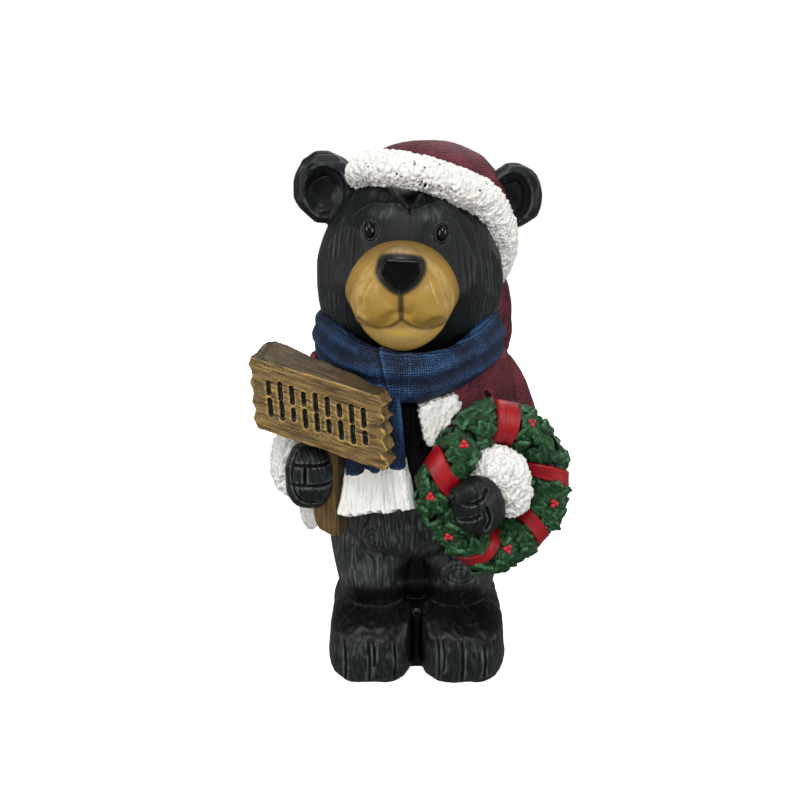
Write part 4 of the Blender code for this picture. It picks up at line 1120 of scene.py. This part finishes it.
def holly_leaf(base, ahead, normal, long, half_wide, curl):
    """One thick holly leaf: points, faces, and how near each point is to the leaf's edge."""
    side = np.cross(ahead, normal)
    rows, columns = LEAF_ROWS, LEAF_COLUMNS
    top, edge = [], []
    for r in range(rows):
        t = r / (rows - 1)
        lobes = 1 + 0.12 * math.cos(2 * math.pi * (2.3 * t - 0.15))
        wide = half_wide * (math.sin(math.pi * min(1, 0.05 + 0.95 * t) ** 0.8) ** 0.75) * lobes
        for c in range(columns):
            u = 2 * c / (columns - 1) - 1
            puff = 1.6 * math.sin(math.pi * abs(u)) - 1.4 * u * u
            arch = curl * long * 0.25 * math.sin(math.pi * t)
            rise = LEAF_THICK * 0.7 * puff + arch - 0.5 * curl * long * t * t
            top.append(base + ahead * long * t + side * wide * u + normal * rise)
            edge.append(max(abs(u), 0.85 * t**4))
    under = [p - normal * LEAF_THICK for p in top]
    faces = []
    for r in range(rows - 1):
        for c in range(columns - 1):
            i = r * columns + c
            faces.append([i, i + 1, i + columns + 1, i + columns])
            faces.append([i + rows * columns + k for k in (0, columns, columns + 1, 1)])
    border = [*range(columns), *[r * columns + columns - 1 for r in range(1, rows)]]
    border += [(rows - 1) * columns + c for c in range(columns - 2, -1, -1)]
    border += [r * columns for r in range(rows - 2, 0, -1)]
    for a, b in zip(border, border[1:] + border[:1]):
        faces.append([b, a, a + rows * columns, b + rows * columns])
    return top + under, faces, edge + edge


def ring_radius(tube_turn):
    """How far from the wreath's middle a turn round its tube lies, roughly."""
    return WREATH_WIDE + WREATH_TUBE * math.sin(tube_turn)


def under_ribbon(turn, tube_turn):
    """Whether a place on the wreath is under a ribbon."""
    for middle, skew, half_wide in RIBBONS:
        away = math.radians(math.degrees(turn) - middle - skew * math.sin(tube_turn))
        if abs(math.remainder(away, 2 * math.pi)) * ring_radius(tube_turn) < half_wide + RIBBON_MARGIN:
            return True
    return False


def rosettes(rng):
    """The middles of the bunches of leaves: under the berries, in rows round the tube and by the ribbons."""
    spots = [(math.radians(turn), tube_turn) for turn, tube_turn in BERRIES]
    for tube_turn, count in ROSETTES:
        for i in range(count):
            turn = 2 * math.pi * (i + rng.uniform(-0.25, 0.25)) / count
            spots.append((turn, tube_turn + rng.uniform(-0.2, 0.2)))
    for middle, skew, half_wide in RIBBONS:
        for tube_turn in BESIDE_RIBBONS:
            off = (half_wide + ROSETTE_OFF) / ring_radius(tube_turn)
            turn = math.radians(middle + skew * math.sin(tube_turn))
            spots += [(turn - off, tube_turn), (turn + off, tube_turn)]
    return [spot for spot in spots if not under_ribbon(*spot)]


def turns_on_wreath(points):
    """Where points lie on the wreath: turn round the ring, turn round the tube and height over it."""
    local = (points - WREATH) @ spin(WREATH_TURN, "Z")
    turn = np.arctan2(local[:, 2] / WREATH_TALL, local[:, 0] / WREATH_WIDE)
    from_tube = local - ring_centre(turn)
    radial = from_tube[:, 0] * np.cos(turn) + from_tube[:, 2] * np.sin(turn)
    return turn, np.arctan2(radial, -from_tube[:, 1]), np.linalg.norm(from_tube, axis=1) - WREATH_TUBE


def leaves(paint):
    """Holly leaves in bunches all over the ring."""
    rng = random.Random(9)
    points, faces, edges, tints = [], [], [], []
    for turn, tube_turn in rosettes(rng):
        swing, tint = rng.uniform(0, math.pi), rng.uniform(-1, 1)
        for i in range(LEAVES_A_ROSETTE):
            heading = swing + 2 * math.pi * i / LEAVES_A_ROSETTE + rng.uniform(-0.3, 0.3)
            base, normal, along = on_wreath(turn, tube_turn, rng.uniform(0.0, 3.5))
            across = np.cross(along, normal)
            level = math.cos(heading) * along + math.sin(heading) * across
            ahead = unit(level + rng.uniform(0.0, 0.4) * normal)
            upward = unit(normal - (normal @ ahead) * ahead)
            long, half_wide = (size * rng.uniform(0.85, 1.12) for size in (LEAF_LONG, LEAF_HALF_WIDE))
            turns, tube_turns, _ = turns_on_wreath(base + np.outer(LEAF_PARTS, ahead * long))
            covered = [part for part, *place in zip(LEAF_PARTS, turns, tube_turns) if under_ribbon(*place)]
            if covered and covered[0] < SHORTEST_LEAF:
                continue
            long *= covered[0] - 0.1 if covered else 1
            made, quads, edge = holly_leaf(base, ahead, upward, long, half_wide, rng.uniform(0.2, 0.6))
            faces += [[len(points) + i for i in quad] for quad in quads]
            points += made
            edges += edge
            tints += [0.7 * tint + rng.uniform(-0.3, 0.3)] * len(made)
    marks = {"edge": np.array(edges), "tint": np.array(tints), "rise": turns_on_wreath(np.array(points))[2]}
    return painted("wreath_leaves", raw_mesh("wreath_leaves", points, faces), paint, "holly_leaf", **marks)


def ribbons(paint):
    """Five satin bands round the wreath."""
    pieces, flow = [], []
    for middle, skew, half_wide in RIBBONS:
        points = []
        for i in range(RIBBON_RINGS):
            share = 2 * i / (RIBBON_RINGS - 1) - 1
            lift = RIBBON_LIFT + 0.9 * abs(share) ** 3 - (2.6 if abs(share) == 1 else 0)
            for around in circle(RIBBON_SIDES):
                off = min(1, abs(share) * 1.02) * math.copysign(1, share) * (half_wide / ring_radius(around))
                turn = math.radians(middle + skew * math.sin(around)) + off
                points.append(on_wreath(turn, around, lift)[0])
                flow.append((18 * around, 30 * share, middle))
        pieces.append((points, ring_faces(RIBBON_RINGS, RIBBON_SIDES, closed=False)))
    mesh = raw_mesh("wreath_ribbons", *joined(pieces))
    return painted("wreath_ribbons", mesh, paint, "ribbon_red", flow=np.array(flow))


def berries(paint):
    """Holly berries in threes."""
    pieces = []
    for turn, tube_turn in BERRIES:
        centre, normal, along = on_wreath(math.radians(turn), tube_turn, RIBBON_LIFT + 0.8)
        across = np.cross(along, normal)
        for i in range(3):
            around = 2 * math.pi * i / 3 + turn
            offset = BERRY_SPREAD * (math.cos(around) * along + math.sin(around) * across)
            pieces.append(blob(centre + offset, (BERRY_SIZE,) * 3, cuts=8))
    return painted("wreath_berries", raw_mesh("wreath_berries", *joined(pieces)), paint, "ribbon_red")


def tone(code):
    """A colour written as RRGGBB, in linear light."""
    shares = [int(code[i:i + 2], 16) / 255 for i in (0, 2, 4)]
    return (*[s / 12.92 if s <= 0.04045 else ((s + 0.055) / 1.055) ** 2.4 for s in shares], 1.0)


class Paint:
    """A procedural material under construction. Sizes are in millimetres."""

    def __init__(self, name, roughness=0.5, specular=0.5, coat=0.0):
        self.material = bpy.data.materials.new(name)
        self.material.use_nodes = True
        self.tree = self.material.node_tree
        self.shader = self.tree.nodes["Principled BSDF"]
        self.set(Roughness=roughness, Metallic=0.0)
        self.shader.inputs["Specular IOR Level"].default_value = specular
        self.shader.inputs["Coat Weight"].default_value = coat
        self.shader.inputs["Coat Roughness"].default_value = 0.12
        place = self.node("ShaderNodeTexCoord").outputs["Object"]
        self.place = self.vector("SCALE", place, scale=1 / MM)

    def set(self, **values):
        """Sets or links the shader's inputs."""
        for name, value in values.items():
            self.join(value, self.shader.inputs[name.replace("_", " ")])

    def join(self, value, socket):
        """Links a socket or sets its value."""
        if isinstance(value, bpy.types.NodeSocket):
            self.tree.links.new(value, socket)
        else:
            socket.default_value = value

    def node(self, kind, **settings):
        """A new node with its settings."""
        made = self.tree.nodes.new(kind)
        for name, value in settings.items():
            setattr(made, name, value)
        return made

    def mark(self, name, output="Fac"):
        """A value that the carving stored on the points."""
        return self.node("ShaderNodeAttribute", attribute_name=name).outputs[output]

    def math(self, operation, first, second=0.0, third=0.0):
        """One arithmetic step."""
        made = self.node("ShaderNodeMath", operation=operation)
        for socket, value in zip(made.inputs, (first, second, third)):
            self.join(value, socket)
        return made.outputs[0]

    def times(self, first, second):
        """The product of two values."""
        return self.math("MULTIPLY", first, second)

    def over(self, colour, share, code, strength=1.0):
        """A colour with another laid over it by a share."""
        return self.mix(self.times(share, strength), colour, tone(code))

    def vector(self, operation, first, second=None, scale=None):
        """One vector step."""
        made = self.node("ShaderNodeVectorMath", operation=operation)
        self.join(first, made.inputs[0])
        if second is not None:
            self.join(second, made.inputs[1])
        if scale is not None:
            made.inputs["Scale"].default_value = scale
        return made.outputs[0]

    def step(self, value, low, high):
        """0 below low, 1 above high and smooth between."""
        made = self.node("ShaderNodeMapRange", interpolation_type="SMOOTHSTEP")
        for name, number in (("Value", value), ("From Min", low), ("From Max", high)):
            self.join(number, made.inputs[name])
        return made.outputs["Result"]

    def noise(self, size, detail=2.0, vector=None):
        """Noise from 0 to 1 with features of the given size, or one size an axis."""
        size = size if isinstance(size, tuple) else (size,) * 3
        scaled = self.vector("MULTIPLY", self.place if vector is None else vector, tuple(1 / s for s in size))
        made = self.node("ShaderNodeTexNoise")
        made.inputs["Scale"].default_value = 1.0
        made.inputs["Detail"].default_value = detail
        self.join(scaled, made.inputs["Vector"])
        return made.outputs["Fac"]

    def cells(self, size, vector=None):
        """The distance to the nearest of scattered cells of the given size."""
        scaled = self.vector("SCALE", self.place if vector is None else vector, scale=1 / size)
        made = self.node("ShaderNodeTexVoronoi")
        made.inputs["Scale"].default_value = 1.0
        self.join(scaled, made.inputs["Vector"])
        return made.outputs["Distance"]

    def mix(self, share, first, second, blend="MIX"):
        """Two colours mixed."""
        made = self.node("ShaderNodeMix", data_type="RGBA", blend_type=blend)
        self.join(share, made.inputs["Factor"])
        self.join(first, made.inputs[6])
        self.join(second, made.inputs[7])
        return made.outputs[2]

    def bump(self, height, distance, strength=1.0):
        """Raises the surface by a height from 0 to 1 over a distance in millimetres."""
        made = self.node("ShaderNodeBump")
        made.inputs["Strength"].default_value = strength
        made.inputs["Distance"].default_value = distance * MM
        self.join(height, made.inputs["Height"])
        self.set(Normal=made.outputs["Normal"])


def black_paint():
    """Charcoal lacquer over carved grain, with dry-brush grey streaks, painted highlight in broad grey
    patches and painted shade near-black where the shade mark lies.
    """
    paint = Paint("black_lacquer", specular=0.2)
    flow = paint.mark("flow", "Vector")
    phase = paint.math("FRACT", paint.math("ADD", paint.mark("phase"), 0.5))
    gap = paint.math("ABSOLUTE", paint.math("SUBTRACT", phase, 0.5))
    line = paint.times(paint.step(gap, 0.10, 0.02), paint.mark("shown"))
    streaks = paint.noise((1.6, 22, 22), 3.0, flow)
    hairs = paint.noise((0.55, 12, 12), 2.0, flow)
    patches = paint.noise(26, 2.0)
    raised = paint.times(paint.step(paint.mark("fine"), 0.04, 0.22), paint.step(streaks, 0.3, 0.6))
    coarse = paint.noise((2.5, 13, 13), 3.0, flow)
    mottle = paint.math("MULTIPLY_ADD", coarse, 0.6, paint.times(hairs, 0.4))
    # The brushing mark carries real dry-brush grey and painted highlight together.
    dry = paint.times(paint.mark("brushed"), paint.step(mottle, 0.47, 0.66))
    # Painted highlight: broad lighter grey patches stand in for the lacquer's gloss.
    painted_sheen = paint.times(paint.mark("brushed"), paint.step(patches, 0.25, 0.7))
    colour = paint.mix(paint.step(hairs, 0.3, 0.7), tone("0f1213"), tone("181c1d"))
    colour = paint.over(colour, painted_sheen, "363a39", 0.65)
    colour = paint.over(colour, dry, "606463", 0.6)
    colour = paint.over(colour, raised, "6a6e6d", 0.45)
    # Grain lines and grooves are painted dark; the shade mark adds painted shade.
    dark = paint.math("MAXIMUM", paint.times(line, 0.85), paint.step(paint.mark("groove"), 0.2, 0.8))
    dark = paint.math("MAXIMUM", dark, paint.mark("shade"))
    paint.set(Base_Color=paint.mix(dark, colour, tone("050607")))
    smooth = paint.math("MULTIPLY_ADD", patches, 0.22, 0.28)
    paint.set(Roughness=paint.times(smooth, paint.math("MULTIPLY_ADD", paint.mark("shade"), -0.2, 1.0)))
    height = paint.math("SUBTRACT", paint.times(hairs, 0.2), line)
    paint.bump(height, 0.5)
    return paint.material


def gloss_black_paint(name, roughness, specular):
    """Black gloss, for the nose or the eyes."""
    paint = Paint(name, roughness=roughness, specular=specular)
    flecks = paint.noise(1.5, 2.0)
    paint.set(Base_Color=paint.mix(flecks, tone("030303"), tone("090909")))
    paint.bump(flecks, 0.02)
    return paint.material


def tan_paint():
    """Tan with a pale ring and painted light on ridges and jaw, a rusty edge and soft dark brushwork round
    the nose and mouth.
    """
    paint = Paint("tan_muzzle", specular=0.35, coat=0.08)
    streaks = paint.noise((3, 3, 14), 3.0)
    patches = paint.noise(14, 2.0)
    colour = paint.mix(patches, tone("a28239"), tone("906f31"))
    # Painted light: the lowest part of the jaw is lightened.
    colour = paint.over(colour, paint.mark("painted_chin_light"), "dcb45e", 0.9)
    # The pale mark: a real pale ring, and painted highlight along the ridges.
    pale = paint.times(paint.mark("pale"), paint.step(streaks, 0.35, 0.6))
    colour = paint.over(colour, pale, "b99c66", 0.6)
    colour = paint.over(colour, paint.mark("rust"), "84491f", 0.8)
    colour = paint.mix(paint.mark("soot"), colour, tone("181a1b"))
    paint.set(Base_Color=colour)
    paint.set(Roughness=paint.math("MULTIPLY_ADD", patches, 0.2, 0.38))
    paint.bump(streaks, 0.15)
    return paint.material


def white_paint():
    """Off-white fur paste with grey and warm recesses and a few dark punctures."""
    paint = Paint("white_fur", specular=0.3)
    clumps = paint.cells(1.5)
    strands = paint.noise((0.8, 0.8, 2.2), 3.0)
    low = paint.step(paint.mark("fine"), -0.02, -0.3)
    colour = paint.mix(paint.noise(9, 2.0), tone("f5f4ef"), tone("e6e5df"))
    warm = paint.mix(paint.step(paint.noise(16, 1.0), 0.5, 0.64), tone("9a9b98"), tone("b0a289"))
    colour = paint.mix(paint.times(low, 0.4), colour, warm)
    flecks = paint.times(paint.step(strands, 0.36, 0.26), 0.3)
    colour = paint.mix(flecks, colour, tone("a9aaa4"))
    colour = paint.mix(paint.step(paint.mark("pit"), 0.35, 0.8), colour, tone("101116"))
    paint.set(Base_Color=colour, Roughness=0.5)
    paint.bump(paint.math("ADD", paint.times(clumps, -0.7), strands), 0.8)
    return paint.material


def cloth_paint(name, raised, middle, recess, pitch):
    """Painted cloth: a relief of crossed threads with dark paint left in its recesses."""
    paint = Paint(name, specular=0.3)
    weave = paint.mark("weave", "Vector")
    parts = paint.node("ShaderNodeSeparateXYZ")
    paint.join(paint.vector("SCALE", weave, scale=2 * math.pi / pitch), parts.inputs[0])
    wobble = paint.times(paint.noise(4, 2.0), 5.0)
    across = paint.math("COSINE", paint.math("ADD", parts.outputs[0], wobble))
    up = paint.math("COSINE", paint.math("ADD", parts.outputs[1], wobble))
    threads = paint.math("MULTIPLY_ADD", paint.math("SUBTRACT", across, up), 0.25, 0.5)
    speckle = paint.noise(1.1, 2.0)
    patches = paint.noise(22, 3.0)
    height = paint.math("MULTIPLY_ADD", threads, 0.6, paint.times(speckle, 0.8))
    level = paint.math("ADD", height, paint.math("MULTIPLY_ADD", patches, 0.6, -0.42))
    level = paint.math("ADD", level, paint.times(paint.mark("fine"), 0.8))
    colour = paint.mix(paint.step(level, 0.4, 0.62), recess, middle)
    colour = paint.mix(paint.step(level, 0.66, 1.0), colour, raised)
    paint.set(Base_Color=colour, Roughness=0.6)
    paint.bump(height, 0.8)
    return paint.material


def wood_paint():
    """Golden-brown painted wood with dark grain, painted shade and a darker post from the top mark, and black
    gloss in its strokes.
    """
    paint = Paint("sign_wood", specular=0.4)
    flow = paint.mark("flow", "Vector")
    bands = paint.noise((38, 4, 3.4), 3.0, flow)
    threads = paint.noise((16, 1.6, 0.9), 3.0, flow)
    level = paint.math("MULTIPLY_ADD", bands, 0.6, paint.times(threads, 0.6))
    colour = paint.mix(paint.step(level, 0.44, 0.6), tone("241c11"), tone("6c5632"))
    colour = paint.mix(paint.step(level, 0.6, 0.76), colour, tone("90743e"))
    colour = paint.over(colour, paint.step(paint.mark("fine"), 0.05, 0.28), "be9a50", 0.8)
    colour = paint.mix(paint.step(paint.mark("fine"), -0.06, -0.3), colour, tone("18110a"))
    # Painted shade: the top mark darkens the board's top and the post's right side, and tones the rest of the
    # post darker.
    colour = paint.over(colour, paint.mark("top"), "2a241a", 0.75)
    ink = paint.step(paint.mark("stroke"), 0.15, 0.5)
    paint.set(Base_Color=paint.mix(ink, colour, tone("0a0a0b")))
    paint.set(Roughness=paint.math("MULTIPLY_ADD", ink, -0.25, 0.5))
    paint.bump(level, 0.5)
    return paint.material


def leaf_paint():
    """Holly green with pale edges, a dark crease down the middle and painted shade on leaves that lie low on
    the ring.
    """
    paint = Paint("holly_leaf", specular=0.25)
    strokes_of_paint = paint.noise(2.2, 3.0)
    tint = paint.math("MULTIPLY_ADD", paint.mark("tint"), 0.3, 0.5)
    colour = paint.mix(tint, tone("163219"), tone("23482b"))
    edge = paint.times(paint.step(paint.mark("edge"), 0.45, 1.0), paint.step(strokes_of_paint, 0.35, 0.6))
    colour = paint.over(colour, edge, "558b5d", 0.65)
    crease = paint.times(paint.step(paint.mark("edge"), 0.28, 0.0), 0.75)
    # Painted shade: leaves lying low, near the ring's tube, are darkened.
    low = paint.step(paint.mark("rise"), 6.5, 1.5)
    colour = paint.mix(paint.math("MAXIMUM", crease, low), colour, tone("0b150f"))
    paint.set(Base_Color=colour, Roughness=0.42)
    paint.bump(strokes_of_paint, 0.35)
    return paint.material


def ribbon_paint():
    """Satin red with brush streaks."""
    paint = Paint("ribbon_red", specular=0.4, coat=0.08)
    flow = paint.mark("flow", "Vector")
    streaks = paint.noise((26, 1.6, 50), 3.0, flow)
    colour = paint.mix(paint.step(streaks, 0.3, 0.7), tone("6f0912"), tone("ab0f1a"))
    paint.set(Base_Color=colour, Roughness=0.38)
    paint.bump(streaks, 0.4)
    return paint.material


def berry_paint():
    """Glossy berry red."""
    paint = Paint("berry_red", roughness=0.3, specular=0.5, coat=0.3)
    mottle = paint.noise(1.6, 2.0)
    paint.set(Base_Color=paint.mix(mottle, tone("a0141f"), tone("cc2430")))
    paint.bump(mottle, 0.15)
    return paint.material


def floor():
    """The plain pale floor that the statue stands on."""
    corners = [(x * FLOOR_HALF, y * FLOOR_HALF, 0) for x, y in ((-1, -1), (1, -1), (1, 1), (-1, 1))]
    made = linked("floor", raw_mesh("floor", corners, [[0, 1, 2, 3]]))
    paint = Paint("floor_white", roughness=0.9, specular=0.1)
    paint.set(Base_Color=(0.9, 0.9, 0.9, 1.0), Emission_Color=(1, 1, 1, 1), Emission_Strength=FLOOR_GLOW)
    made.data.materials.append(paint.material)
    made.visible_diffuse = made.visible_glossy = False


def softbox(name, place, size, watts, mirrored):
    """A square soft light aimed at the lit point. Gloss shows its reflection only where it is mirrored."""
    light = bpy.data.lights.new(name, "AREA")
    light.energy, light.size = watts, size
    made = bpy.data.objects.new(name, light)
    bpy.context.scene.collection.objects.link(made)
    made.location = place
    made.rotation_euler = (Vector(LIT_POINT) - Vector(place)).to_track_quat("-Z", "Y").to_euler()
    made.visible_glossy = mirrored


def backdrop():
    """A world that shows white behind the statue and lights it softly."""
    world = bpy.data.worlds.new("studio")
    world.use_nodes = True
    tree = world.node_tree
    back = tree.nodes["Background"]
    back.inputs["Color"].default_value = (1, 1, 1, 1)
    strength = tree.nodes.new("ShaderNodeMapRange")
    strength.inputs["To Min"].default_value, strength.inputs["To Max"].default_value = WORLD_LIGHT, 1.0
    tree.links.new(tree.nodes.new("ShaderNodeLightPath").outputs["Is Camera Ray"], strength.inputs["Value"])
    tree.links.new(strength.outputs["Result"], back.inputs["Strength"])
    return world


def studio():
    """A pale floor, soft lights and the camera."""
    floor()
    for light in LIGHTS:
        softbox(*light)
    scene = bpy.context.scene
    scene.world = backdrop()
    scene.view_settings.view_transform = "Standard"
    camera = bpy.data.cameras.new("camera")
    camera.lens, camera.clip_start = CAMERA_LENS, CAMERA_NEAREST
    made = bpy.data.objects.new("camera", camera)
    scene.collection.objects.link(made)
    made.location = CAMERA
    made.rotation_euler = (math.radians(90 - CAMERA_DOWN), 0, 0)
    scene.camera = made


def main():
    """Builds every piece and lights the scene."""
    black, white, wood, leaf = black_paint(), white_paint(), wood_paint(), leaf_paint()
    red = cloth_paint("red_cloth", tone("8e3a44"), tone("5c1e28"), tone("12060a"), 1.7)
    blue = cloth_paint("blue_cloth", tone("355d8e"), tone("102038"), tone("030508"), 1.6)
    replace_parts(body(black), STATUE)
    head(black)
    eyes(gloss_black_paint("eye_black", 0.06, 0.5))
    nose(gloss_black_paint("nose_black", 0.22, 0.25))
    muzzle(tan_paint())
    brim(white)
    crown(red)
    pompom(white)
    scarf(blue)
    scarf_end(blue)
    fringe(white)
    coat(red)
    coat_trim(white)
    cuffs(white)
    paws(black)
    board(wood)
    post(wood)
    wreath_base(leaf)
    leaves(leaf)
    ribbons(ribbon_paint())
    berries(berry_paint())
    studio()


main()
